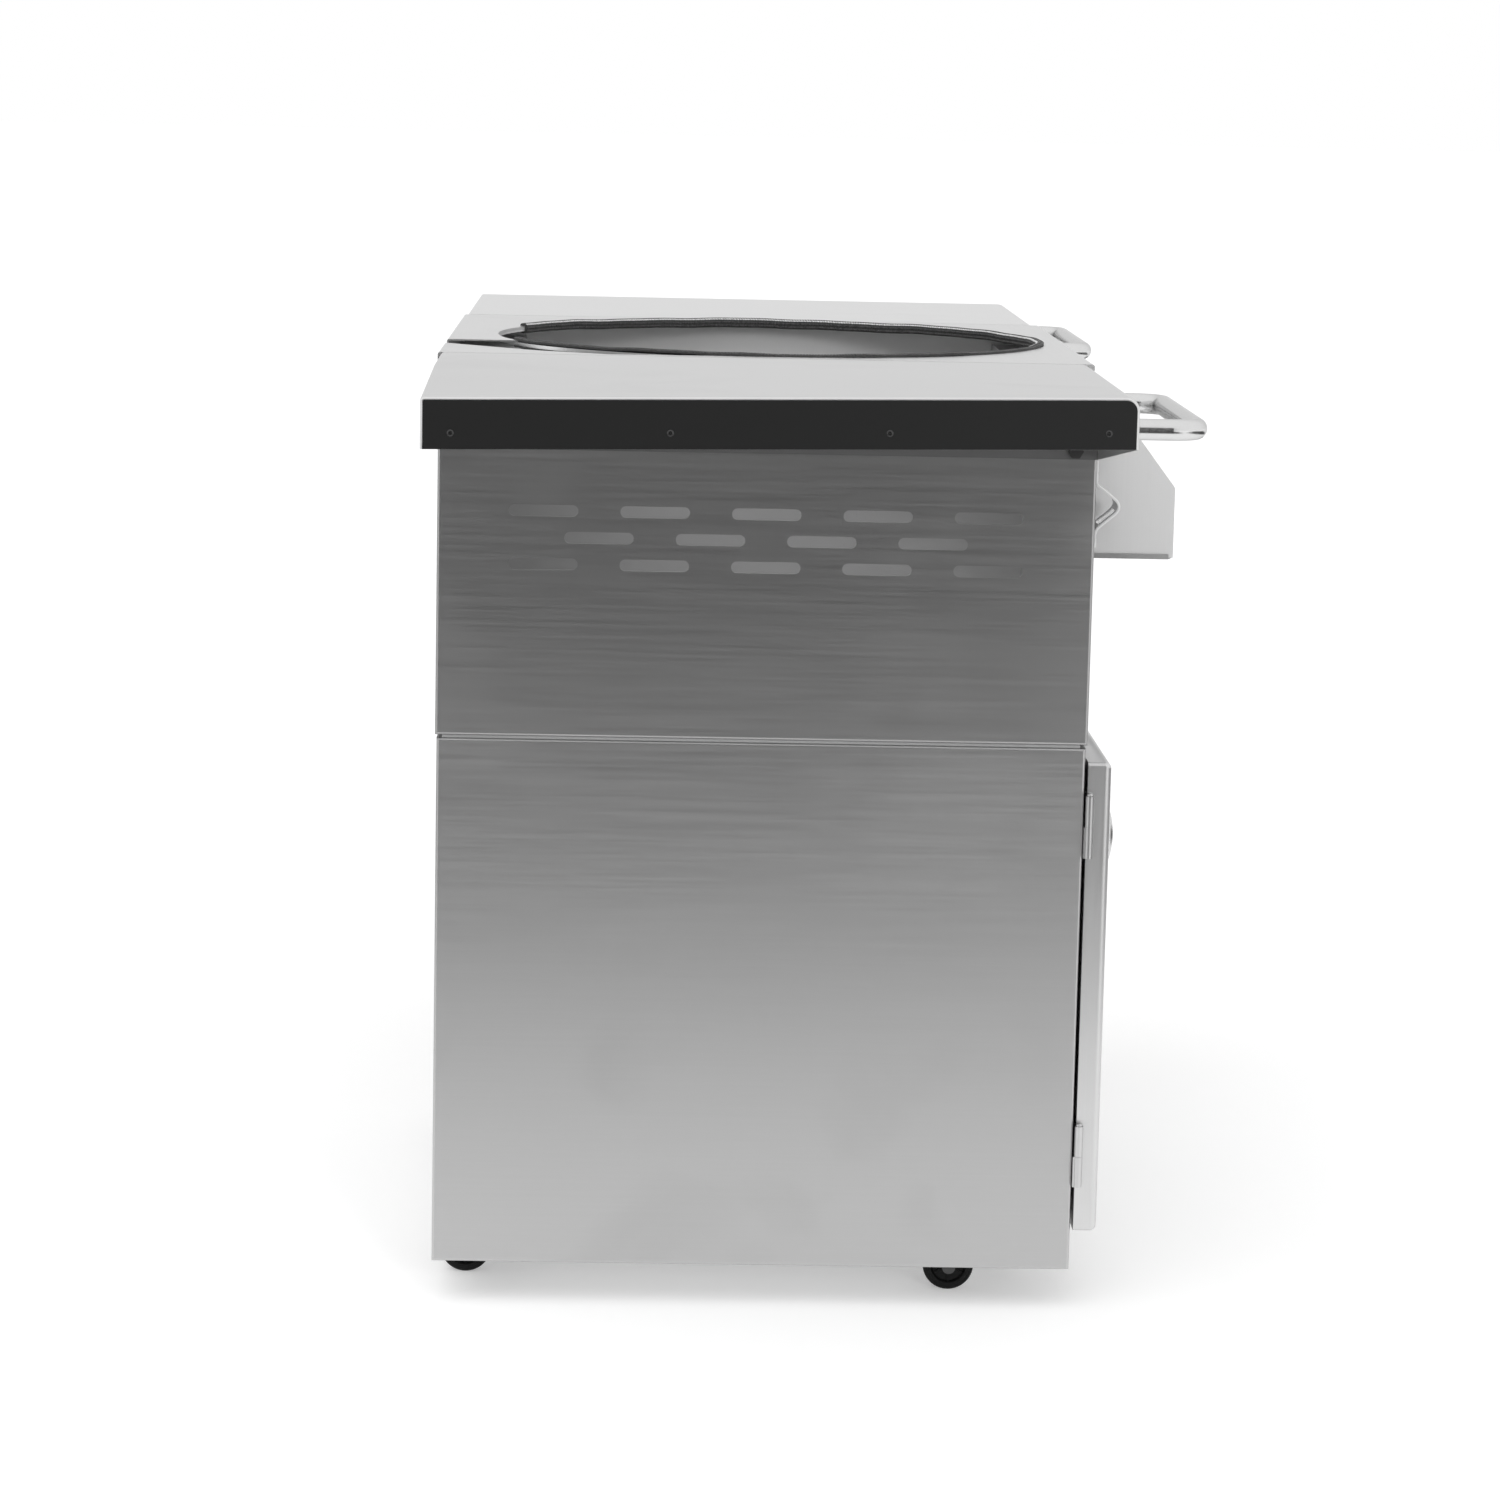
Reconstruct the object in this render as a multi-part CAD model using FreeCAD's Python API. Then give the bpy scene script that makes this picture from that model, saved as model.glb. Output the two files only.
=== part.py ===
import FreeCAD, Part
import math
import os
from FreeCAD import Vector

# Kamado grill table: a stainless steel cart with a round opening for a kamado grill between two
# side shelves, a vented housing around the grill and a storage cabinet with two doors below.
# Millimetres. X runs along the table, -Y is the front, +Z is up. The pieces are made around the
# middle of the table and written with the origin on the floor, below the middle of its outline.

# Overall sizes
table_height = 914.0
overall_width = 1420.0
shelf_depth = 620.0
sheet = 1.5
bend_radius = 2.5

# Middle top panel and the grill opening
middle_width = 605.0
middle_front_step = 1.5
middle_rear_step = 3.0
panel_gap = 2.0
skirt_depth = 21.5
skirt_rail_gap = 1.0
front_lip = 6.0
rear_lip = 40.0
opening_radius = 276.0
opening_shift = 9.0
ring_width = 3.0
ring_height = 3.5
trim_lip = 5.0
trim_wall = 3.0
trim_lip_thickness = 2.5
trim_gap_half_width = 112.0

# Relief cut from the opening to the rear edge, in plan
relief_far = 111.0
relief_rear_width = 56.0
relief_flare_x = 74.0
relief_flare_y = 79.0
relief_tip_x = 15.0
relief_tip_y = 20.0
relief_land = 13.0
relief_land_y = 150.0

# Side shelves
apron_outer = 45.0
apron_inner = 84.0
front_edge_radius = 12.0
rear_edge_radius = 3.5
cap_thickness = 1.5
cap_inset = 2.5
rivet_drop = 31.0
rivet_end_inset = 25.0
rivet_count = 4
rivet_head_radius = 3.2
rivet_head_height = 1.0
rivet_shank_radius = 2.0
plate_flange = 25.0
plate_flange_inset = 18.0

# Bolts that hold the shelves to the housing
bolt_radius = 4.0
bolt_hole_gap = 0.25
bolt_head_flats = 13.0
bolt_head_height = 5.3
bolt_nut_height = 6.5
bolt_end = 2.0
bolt_edge_inset = 21.0
bolt_low = 8.0
bolt_row_pitch = 37.0

# Towel handles on the shelves
towel_tube_radius = 9.5
towel_tube_wall = 1.5
towel_end_inset = 52.0
towel_inner_inset = 19.0
towel_projection = 68.0
towel_bend_radius = 24.0
towel_drop = 31.5
towel_plug_length = 20.0
plug_gap = 0.05
towel_screw_radius = 3.0
towel_screw_head_radius = 5.5
towel_screw_head_height = 3.0
screw_hole_gap = 0.2

# Grill housing
housing_half_width = 381.0
housing_flange = 25.0
slot_length = 65.5
slot_height = 11.0
slot_pitch = 105.0
slot_row_pitch = 25.2
slot_top_drop = 141.5
rail_front_width = 46.0
rail_rear_width = 60.0
rail_depth = 30.0
window_width = 280.0
window_height = 100.0
window_sill = 34.0

# Fascia on the front of the housing
fascia_side_inset = 81.0
fascia_projection = 84.5
fascia_knee_drop = 117.0
fascia_height = 186.0
fascia_flange = 40.0
fascia_lip_height = 5.0
fascia_bend_radius = 3.0

# Bottle opener on the front of the housing
opener_width = 44.0
opener_side_inset = 10.0
opener_thickness = 2.5
opener_gap = 2.0
opener_top_foot = 23.0
opener_arm_drop = 20.0
opener_reach = 27.0
opener_return_drop = 22.0
opener_bottom_foot = 17.0
opener_tip_radius = 5.0
opener_bend_radius = 4.0
opener_mouth_width = 26.0
opener_mouth_height = 13.0
opener_mouth_tip_gap = 3.5
opener_screw_radius = 2.5
opener_screw_head_radius = 4.5
opener_screw_head_height = 2.4
opener_screw_length = 8.0

# Storage cabinet
cabinet_inset = 1.5
cabinet_flange = 25.0
floor_clearance = 43.0
seam_height = 554.5
deck_thickness = 3.0
deck_inset = 5.0
stiffener_spacing = 260.0
stiffener_width = 40.0
stiffener_depth = 30.0
stiffener_wall = 2.0
base_height = 66.5
frame_stile = 41.0
frame_top_rail = 38.0
frame_bottom_rail = 34.0

# Doors
door_thickness = 22.5
door_sheet = 1.2
door_gap = 3.0
door_meeting_gap = 3.0
door_side_inset = 1.0
door_top_drop = 13.5
door_bottom_rise = 38.5
door_edge_radius = 6.0
door_corner_radius = 4.0
liner_inset = 0.3
handle_edge_inset = 73.5
handle_drop = 124.0
handle_spacing = 96.0
handle_projection = 37.0
handle_rod_radius = 5.0
handle_corner_radius = 14.0
handle_arch_angle = 30.0
handle_screw_radius = 2.0
handle_screw_head_radius = 4.0
handle_screw_head_height = 2.5
handle_screw_reach = 10.0

# Door hinges
hinge_height = 60.0
hinge_top_drop = 31.5
hinge_bottom_rise = 45.5
knuckle_radius = 4.0
knuckle_side_gap = 0.4
knuckle_forward = 3.5
knuckle_end_gap = 0.2
leaf_thickness = 1.4
leaf_width = 28.0
pin_radius = 2.0
pin_running_gap = 0.05
pin_head_radius = 2.9
pin_head_height = 2.6

# Magnetic door catches
catch_width = 36.0
catch_height = 12.0
catch_edge_inset = 12.0
catch_drop = 9.0
striker_thickness = 0.8
striker_margin = 2.0
catch_gap = 0.4

# Casters
wheel_radius = 25.0
wheel_width = 20.0
wheel_edge_radius = 4.0
wheel_dish_radius = 15.0
wheel_dish_depth = 3.0
wheel_hub_radius = 9.0
caster_trail = 25.0
caster_plate_size = 60.0
caster_plate_thickness = 2.5
caster_bolt_spacing = 44.0
caster_bolt_radius = 3.0
caster_bolt_head_radius = 5.0
caster_bolt_head_height = 3.0
caster_bolt_nut_height = 5.0
stem_radius = 5.0
stem_gap = 0.05
stem_head_radius = 8.0
stem_head_height = 2.2
swivel_gap = 0.3
crown_radius = 20.0
crown_height = 5.5
crown_plate = 3.0
fork_wall = 2.5
fork_side_gap = 1.5
fork_leg_half = 15.0
fork_boss_radius = 8.0
axle_radius = 4.0
axle_running_gap = 0.05
axle_head_radius = 6.5
axle_head_height = 4.0
front_caster_inset = 83.0
front_caster_y = 222.0
rear_caster_inset = 124.0
rear_caster_y = 255.0

# Places that follow from the sizes
half_width = overall_width / 2
half_depth = shelf_depth / 2
half_middle = middle_width / 2
top_under = table_height - sheet
housing_top = table_height - skirt_depth
housing_low = seam_height + deck_thickness
housing_front_y = -half_depth
housing_back_y = half_depth
shelf_inner_x = half_middle + panel_gap
shelf_half_depth = half_depth + sheet
middle_front_y = -shelf_half_depth - middle_front_step
middle_back_y = shelf_half_depth + middle_rear_step
opening_y = -opening_shift
cabinet_front_y = -half_depth + cabinet_inset
cabinet_back_y = half_depth - cabinet_inset
plate_outer_x = housing_half_width + sheet
bolt_row_low = table_height - apron_inner + bolt_low
bolt_rows = [bolt_row_low, bolt_row_low + bolt_row_pitch]
bolt_hole_radius = bolt_radius + bolt_hole_gap
bolt_y = half_depth - bolt_edge_inset
towel_z = table_height - towel_drop
towel_xs = [half_width - towel_end_inset, housing_half_width - towel_inner_inset]
towel_hole_radius = towel_screw_radius + screw_hole_gap
door_back_y = cabinet_front_y - door_gap
door_front_y = door_back_y - door_thickness
door_outer_x = housing_half_width - door_side_inset
door_inner_x = door_meeting_gap / 2
door_top = seam_height - door_top_drop
door_bottom = floor_clearance + door_bottom_rise
handle_x = door_inner_x + handle_edge_inset
handle_z = door_top - handle_drop
handle_screw_hole = handle_screw_radius + screw_hole_gap
hinge_x = housing_half_width + knuckle_side_gap + knuckle_radius
hinge_y = cabinet_front_y - door_gap / 2 - knuckle_forward
hinge_lows = [door_bottom + hinge_bottom_rise, door_top - hinge_top_drop - hinge_height]
frame_back_y = cabinet_front_y + 2 * sheet
front_caster_x = housing_half_width - front_caster_inset
rear_caster_x = housing_half_width - rear_caster_inset
plate_low = base_height - caster_plate_thickness
crown_top = plate_low - swivel_gap
crown_low = crown_top - crown_height - crown_plate
fork_half = wheel_width / 2 + fork_side_gap
axle_half = fork_half + fork_wall
opener_x = housing_half_width - opener_side_inset - opener_width / 2
opener_top = table_height - apron_inner - opener_gap
fascia_half_width = housing_half_width - fascia_side_inset
origin_shift = (half_depth + fascia_projection - middle_back_y) / 2

X_AXIS = Vector(1, 0, 0)
Y_AXIS = Vector(0, 1, 0)
Z_AXIS = Vector(0, 0, 1)
overrun = 5.0
touch = 0.01


def box(xs, ys, zs):
    """A block between the lowest and highest value of each pair."""
    low = Vector(min(xs), min(ys), min(zs))
    return Part.makeBox(max(xs) - low.x, max(ys) - low.y, max(zs) - low.z, low)


def prism(points, along):
    """A closed outline pushed along a vector."""
    outline = Part.makePolygon(points + [points[0]])
    return Part.Face(outline).extrude(along)


def rod(radius, start, end):
    """A round bar from one point to another."""
    along = end - start
    return Part.makeCylinder(radius, along.Length, start, along)


def hexagon(flats, start, end):
    """A hexagon bar from one point to another, with its width across the flats."""
    along = end - start
    turn = FreeCAD.Rotation(Z_AXIS, along)
    corner = flats / math.sqrt(3)
    points = []
    for step in range(6):
        angle = math.radians(60 * step + 30)
        points.append(start + turn.multVec(Vector(corner * math.cos(angle), corner * math.sin(angle), 0)))
    return prism(points, along)


def mirrored(shape):
    """The same piece on the other end of the table."""
    return shape.mirror(Vector(0, 0, 0), X_AXIS)


def straight_edges(shape, direction, keep):
    """The straight edges along a direction whose middle passes the test."""
    found = []
    for edge in shape.Edges:
        if not isinstance(edge.Curve, Part.Line):
            continue
        if abs(abs(edge.Curve.Direction.dot(direction)) - 1) > touch:
            continue
        if keep(edge.CenterOfMass):
            found.append(edge)
    return found


def near(value, target):
    return abs(value - target) < touch


def fuse_all(shapes):
    """One solid from pieces that meet."""
    whole = shapes[0].fuse(shapes[1:])
    return whole.removeSplitter()


def offset_line(points, distance):
    """A bent line moved sideways in the YZ plane, with its corners kept sharp."""
    moved = []
    normals = []
    for start, end in zip(points, points[1:]):
        along = (end - start).normalize()
        normals.append(Vector(0, -along.z, along.y))
    for index, point in enumerate(points):
        before = normals[max(index - 1, 0)]
        after = normals[min(index, len(normals) - 1)]
        middle = before + after
        moved.append(point + middle * (2 * distance / middle.dot(middle)))
    return moved


def bent_strip(points, wall, xs, inner_radii):
    """A folded sheet: its left face follows the points and its wall lies to their right."""
    other = offset_line(points, wall)
    outline = points + other[::-1]
    low = min(xs)
    shifted = [Vector(low, point.y, point.z) for point in outline]
    strip = prism(shifted, X_AXIS * (max(xs) - low))
    for index, radius in inner_radii.items():
        before = points[index] - points[index - 1]
        after = points[index + 1] - points[index]
        turns_left = before.y * after.z - before.z * after.y > 0
        inner = other[index] if turns_left else points[index]
        outer = points[index] if turns_left else other[index]
        for corner, size in ((inner, radius), (outer, radius + wall)):
            edges = straight_edges(
                strip, X_AXIS, lambda c, p=corner: near(c.y, p.y) and near(c.z, p.z))
            strip = strip.makeFillet(size, edges)
    return strip


def side_tray(x_outer, x_inner, y_front, y_back, z_low, z_high, open_top):
    """A side panel with its edges folded inwards, on the -X end."""
    outer = box((x_outer, x_inner), (y_front, y_back), (z_low, z_high))
    bends = straight_edges(outer, Z_AXIS, lambda c: near(c.x, x_outer))
    bends += straight_edges(outer, Y_AXIS, lambda c: near(c.x, x_outer) and near(c.z, z_low))
    hollow_top = z_high + overrun
    if not open_top:
        bends += straight_edges(outer, Y_AXIS, lambda c: near(c.x, x_outer) and near(c.z, z_high))
        hollow_top = z_high - sheet
    outer = outer.makeFillet(bend_radius, bends)
    hollow = box(
        (x_outer + sheet, x_inner + overrun),
        (y_front + sheet, y_back - sheet),
        (z_low + sheet, hollow_top))
    creases = straight_edges(hollow, Z_AXIS, lambda c: near(c.x, x_outer + sheet))
    creases += straight_edges(
        hollow, Y_AXIS, lambda c: near(c.x, x_outer + sheet) and c.z < z_high)
    hollow = hollow.makeFillet(bend_radius - sheet, creases)
    return outer.cut(hollow)


def cabinet_left_side():
    return side_tray(
        -housing_half_width, -housing_half_width + cabinet_flange,
        cabinet_front_y, cabinet_back_y, floor_clearance, seam_height, False)


def cabinet_back():
    half = housing_half_width - sheet - bend_radius
    return box(
        (-half, half), (cabinet_back_y - 2 * sheet, cabinet_back_y - sheet),
        (floor_clearance + 2 * sheet, seam_height - 2 * sheet))


def base_pan():
    half = housing_half_width - bend_radius
    front = cabinet_front_y + 2 * sheet
    back = cabinet_back_y - 2 * sheet
    low = floor_clearance + sheet
    pan = box((-half, half), (front, back), (low, base_height + sheet))
    hollow = box(
        (-half + sheet, half - sheet), (front + sheet, back - sheet), (low - overrun, base_height))
    pan = pan.cut(hollow)
    for hole in caster_bolt_places():
        pan = pan.cut(rod(caster_bolt_radius + screw_hole_gap, hole, hole + Z_AXIS * 3 * sheet))
    return pan


def door_frame():
    half = housing_half_width - sheet - bend_radius
    low = base_height + sheet
    high = seam_height - sheet
    frame = box((-half, half), (cabinet_front_y + sheet, frame_back_y), (low, high))
    opening_half = housing_half_width - frame_stile
    opening = box(
        (-opening_half, opening_half), (cabinet_front_y, frame_back_y + overrun),
        (low + frame_bottom_rail, high - frame_top_rail))
    return frame.cut(opening)


def kamado_deck():
    half_x = housing_half_width - deck_inset
    half_y = half_depth - cabinet_inset - deck_inset
    return box((-half_x, half_x), (-half_y, half_y), (seam_height, housing_low))


def deck_stiffeners():
    """Two channels under the deck, from the door frame to the back."""
    channels = []
    back = cabinet_back_y - 2 * sheet
    for side in (-1, 1):
        middle = side * stiffener_spacing / 2
        half = stiffener_width / 2
        low = seam_height - stiffener_depth
        channel = box((middle - half, middle + half), (frame_back_y, back), (low, seam_height))
        hollow = box(
            (middle - half + stiffener_wall, middle + half - stiffener_wall),
            (frame_back_y - overrun, back + overrun),
            (low - overrun, seam_height - stiffener_wall))
        channels.append(channel.cut(hollow))
    return Part.makeCompound(channels)


def slot(y_middle, z_middle):
    """One vent slot with round ends, through a side panel."""
    half = slot_length / 2 - slot_height / 2
    xs = (-housing_half_width - overrun, -housing_half_width + 2 * sheet)
    middle = box(
        xs, (y_middle - half, y_middle + half), (z_middle - slot_height / 2, z_middle + slot_height / 2))
    ends = []
    for side in (-1, 1):
        y_end = y_middle + side * half
        ends.append(rod(slot_height / 2, Vector(xs[0], y_end, z_middle), Vector(xs[1], y_end, z_middle)))
    return middle.fuse(ends)


def towel_screw_holes():
    """Holes for the towel handles' inner screws, through all that stands behind the aprons."""
    holes = []
    for side in (-1, 1):
        start = Vector(side * towel_xs[1], -shelf_half_depth - sheet, towel_z)
        holes.append(rod(towel_hole_radius, start, start + Y_AXIS * 6 * sheet))
    return holes


def vent_slots():
    """Three rows: five slots, four between them, and five again."""
    slots = []
    for row, count in enumerate((5, 4, 5)):
        z_row = table_height - slot_top_drop - row * slot_row_pitch
        for index in range(count):
            slots.append(slot((index - (count - 1) / 2) * slot_pitch, z_row))
    return slots


def housing_left_side():
    side = side_tray(
        -housing_half_width, -housing_half_width + housing_flange,
        housing_front_y, housing_back_y, housing_low, housing_top, True)
    side = side.cut(vent_slots() + towel_screw_holes())
    for y_bolt in (-bolt_y, bolt_y):
        for z_bolt in bolt_rows:
            start = Vector(-housing_half_width - sheet, y_bolt, z_bolt)
            side = side.cut(rod(bolt_hole_radius, start, start + X_AXIS * 3 * sheet))
    return side


def housing_back():
    half = housing_half_width - sheet - bend_radius
    return box(
        (-half, half), (housing_back_y - 2 * sheet, housing_back_y - sheet),
        (housing_low + sheet, housing_top))


def housing_front():
    """The front sheet with a foot on the deck and a window for the grill's air door."""
    half = housing_half_width - housing_flange - knuckle_end_gap
    front = box((-half, half), (housing_front_y, housing_front_y + sheet), (housing_low, housing_top))
    foot = box(
        (-half, half), (housing_front_y, housing_front_y + housing_flange),
        (housing_low, housing_low + sheet))
    panel = fuse_all([front, foot])
    sill = housing_low + window_sill
    window = box(
        (-window_width / 2, window_width / 2), (housing_front_y - overrun, housing_front_y + 2 * sheet),
        (sill, sill + window_height))
    panel = panel.cut(window)
    for place in opener_screw_places():
        if abs(place.x) < half:
            hole = rod(opener_screw_radius + screw_hole_gap, place - Y_AXIS, place + Y_AXIS * 2 * sheet)
            panel = panel.cut(hole)
    return panel


def rail_spans():
    """How far the front and the rear rail reach along Y."""
    front = housing_front_y + sheet
    back = housing_back_y - 2 * sheet
    return (front, front + rail_front_width), (back - rail_rear_width, back)


def top_rails():
    """Channels across the housing that carry the middle panel."""
    half = housing_half_width - bend_radius
    rails = []
    for ys in rail_spans():
        rail = box((-half, half), ys, (housing_top - rail_depth, housing_top))
        hollow = box(
            (-half - overrun, half + overrun), (ys[0] + sheet, ys[1] - sheet),
            (housing_top - rail_depth - overrun, housing_top - sheet))
        rails.append(rail.cut([hollow] + towel_screw_holes()))
    return Part.makeCompound(rails)


def fascia_panel():
    """One folded sheet with low lips at both ends of its bottom, outside the cheeks."""
    wall = housing_front_y
    top = table_height - front_lip
    nose = wall - fascia_projection
    knee = table_height - fascia_knee_drop
    bottom = table_height - fascia_height
    half = fascia_half_width - sheet
    flange = box((-half, half), (wall - sheet, wall), (top - fascia_flange, top - sheet))
    line = [
        Vector(0, wall, top),
        Vector(0, nose, knee),
        Vector(0, nose, bottom),
        Vector(0, wall, bottom)]
    skin = bent_strip(line, sheet, (-half, half), {1: fascia_bend_radius, 2: fascia_bend_radius})
    trimmed = box((-half, half), (nose - overrun, wall), (bottom - overrun, top))
    pieces = [flange, skin.common(trimmed)]
    outer = fascia_half_width + sheet
    floor = box((-outer, outer), (nose + fascia_bend_radius + sheet, wall), (bottom, bottom + sheet))
    pieces.append(floor)
    for side in (-1, 1):
        lip = box(
            (side * (outer - sheet), side * outer), (nose + fascia_bend_radius + sheet, wall),
            (bottom, bottom + fascia_lip_height))
        pieces.append(lip)
    return fuse_all(pieces)


def fascia_left_cheek():
    wall = housing_front_y
    top = table_height - front_lip
    nose = wall - fascia_projection
    knee = table_height - fascia_knee_drop
    low = table_height - fascia_height + sheet
    outer = -fascia_half_width
    points = [
        Vector(outer, wall, low), Vector(outer, nose, low), Vector(outer, nose, knee),
        Vector(outer, wall, top)]
    cheek = prism(points, X_AXIS * sheet)
    knee_edge = straight_edges(cheek, X_AXIS, lambda c: near(c.y, nose) and near(c.z, knee))
    return cheek.makeFillet(fascia_bend_radius + sheet, knee_edge)


def relief_cut():
    """The cut in the middle panel that runs from the opening to the rear edge."""
    far_rear = Vector(-relief_far, middle_back_y + overrun, table_height - rear_lip - overrun)
    near_rear = far_rear - X_AXIS * relief_rear_width
    flare = Vector(near_rear.x - relief_flare_x, middle_back_y - relief_flare_y, far_rear.z)
    tip = flare - Vector(relief_tip_x, relief_tip_y, 0)
    land = Vector(-half_middle + relief_land, relief_land_y, far_rear.z)
    end = Vector(-opening_radius + touch, opening_y, far_rear.z)
    inner = Vector(-relief_far, opening_y, far_rear.z)
    near_edge = Vector(near_rear.x, middle_back_y, far_rear.z)
    points = [far_rear, near_rear, near_edge, flare, tip, land, end, inner]
    return prism(points, Z_AXIS * (rear_lip + 2 * overrun))


def middle_top_panel():
    """The middle panel with its folded edges, the grill opening and the relief cut.

    Its side skirts hang down between the rails and are notched over them.
    """
    outer = box(
        (-half_middle, half_middle), (middle_front_y, middle_back_y), (table_height - rear_lip, table_height))
    ends = straight_edges(outer, X_AXIS, lambda c: near(c.z, table_height))
    outer = outer.makeFillet(bend_radius, ends)
    inner = box(
        (-half_middle + sheet, half_middle - sheet), (middle_front_y + sheet, middle_back_y - sheet),
        (table_height - rear_lip - overrun, top_under))
    creases = straight_edges(inner, X_AXIS, lambda c: near(c.z, top_under))
    inner = inner.makeFillet(bend_radius - sheet, creases)
    panel = outer.cut(inner)
    front_rail, rear_rail = rail_spans()
    over_front_rail = box(
        (-half_width, half_width), (middle_front_y - overrun, front_rail[1] + skirt_rail_gap),
        (table_height - rear_lip - overrun, housing_top))
    over_rear_rail = box(
        (-half_width, half_width), (rear_rail[0] - skirt_rail_gap, middle_back_y - sheet),
        (table_height - rear_lip - overrun, housing_top))
    below_front = box(
        (-half_width, half_width), (middle_front_y - overrun, housing_front_y),
        (table_height - rear_lip - overrun, table_height - front_lip))
    below_back = box(
        (-half_width, half_width), (middle_back_y - sheet - touch, middle_back_y + overrun),
        (table_height - rear_lip - overrun, table_height - rear_lip))
    centre = Vector(0, opening_y, housing_top)
    hole = rod(opening_radius, centre, centre + Z_AXIS * 2 * skirt_depth)
    panel = panel.cut([over_front_rail, over_rear_rail, below_front, below_back, hole, relief_cut()])
    return panel


def opening_ring():
    """A narrow hoop under the panel that keeps the opening round across the relief cut."""
    centre = Vector(0, opening_y, top_under - ring_height)
    ring = Part.makeCylinder(opening_radius + ring_width, ring_height, centre)
    return ring.cut(Part.makeCylinder(opening_radius, ring_height, centre))


def opening_edge_trim():
    """A channel-shaped edge trim over the panel and the hoop, left open at the rear."""
    low = top_under - ring_height
    bottom = Vector(0, opening_y, low - trim_lip_thickness)
    height = table_height - low + 2 * trim_lip_thickness
    trim = Part.makeCylinder(opening_radius + trim_lip, height, bottom)
    trim = trim.cut(Part.makeCylinder(opening_radius - trim_wall, height, bottom))
    grip = Vector(0, opening_y, low)
    gripped = Part.makeCylinder(opening_radius + 2 * trim_lip, table_height - low, grip)
    gripped = gripped.cut(Part.makeCylinder(opening_radius, table_height - low, grip))
    rear_gap = box(
        (-trim_gap_half_width, trim_gap_half_width), (opening_y, middle_back_y),
        (bottom.z, bottom.z + height))
    return trim.cut([gripped, rear_gap])


def shelf_block(x_outer, x_inner, inset, end_radius):
    """The shelf's outline as a block, drawn in by an inset, with its end folded round a radius."""
    low = table_height - apron_inner - overrun
    high = table_height - inset
    half = shelf_half_depth - inset
    block = box((x_outer, x_inner), (-half, half), (low, high))
    front = straight_edges(block, X_AXIS, lambda c: near(c.z, high) and near(c.y, -half))
    block = block.makeFillet(front_edge_radius - inset, front)
    back = straight_edges(block, X_AXIS, lambda c: near(c.z, high) and near(c.y, half))
    block = block.makeFillet(rear_edge_radius - inset, back)
    if end_radius:
        rim = [edge for edge in block.Edges if near(edge.BoundBox.XMax, x_outer)]
        fold = [edge for edge in rim if edge.CenterOfMass.z > low + touch]
        block = block.makeFillet(end_radius, fold)
    return block


def left_shelf_pan():
    """A folded shelf whose aprons deepen towards the housing and run on in front of it."""
    low = table_height - apron_inner
    x_end = -half_width + cap_thickness
    pan = shelf_block(x_end, -shelf_inner_x, 0.0, bend_radius)
    hollow = shelf_block(x_end + sheet, -shelf_inner_x - sheet, sheet, bend_radius - sheet)
    over_housing = box(
        (-shelf_inner_x - overrun, -shelf_inner_x + overrun), (-half_depth, half_depth),
        (low - overrun, housing_top))
    pan = pan.cut([hollow, over_housing])
    side = [
        Vector(-half_width, -shelf_half_depth, table_height),
        Vector(-shelf_inner_x, -shelf_half_depth, table_height),
        Vector(-shelf_inner_x, -shelf_half_depth, low),
        Vector(-housing_half_width, -shelf_half_depth, low),
        Vector(-half_width, -shelf_half_depth, table_height - apron_outer)]
    pan = pan.common(prism(side, Y_AXIS * 2 * shelf_half_depth))
    for x_leg in towel_xs:
        start = Vector(-x_leg, -shelf_half_depth - sheet, towel_z)
        pan = pan.cut(rod(towel_hole_radius, start, start + Y_AXIS * 3 * sheet))
    for place in rivet_places():
        pan = pan.cut(rod(rivet_shank_radius, place - X_AXIS * sheet, place + X_AXIS * 3 * sheet))
    return pan


def rivet_places():
    """The rivets' centres on the outer face of the -X end cap."""
    z_rivet = table_height - rivet_drop
    span = 2 * (half_depth - rivet_end_inset)
    places = []
    for index in range(rivet_count):
        y_rivet = -span / 2 + index * span / (rivet_count - 1)
        places.append(Vector(-half_width, y_rivet, z_rivet))
    return places


def left_shelf_end_cap():
    """The dark plate on the shelf's end flange, inside the folded edge."""
    cap = shelf_block(-half_width, -half_width + cap_thickness, cap_inset, 0.0)
    low = table_height - apron_outer
    cap = cap.common(box((-half_width, half_width), (-half_depth, half_depth), (low, table_height)))
    for place in rivet_places():
        cap = cap.cut(rod(rivet_shank_radius, place - X_AXIS * sheet, place + X_AXIS * 2 * sheet))
    return cap


def rivet(place):
    """A low domed rivet through the cap and the shelf's end flange."""
    shank = rod(rivet_shank_radius, place - X_AXIS * touch, place + X_AXIS * (cap_thickness + 2 * sheet))
    head = rod(rivet_head_radius, place - X_AXIS * rivet_head_height, place)
    rim = [edge for edge in head.Edges if near(edge.CenterOfMass.x, place.x - rivet_head_height)]
    head = head.makeFillet(rivet_head_height * 0.8, rim)
    return fuse_all([head, shank])


def end_cap_rivets():
    left = [rivet(place) for place in rivet_places()]
    right = [mirrored(piece) for piece in left]
    return Part.makeCompound(left + right)


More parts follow.
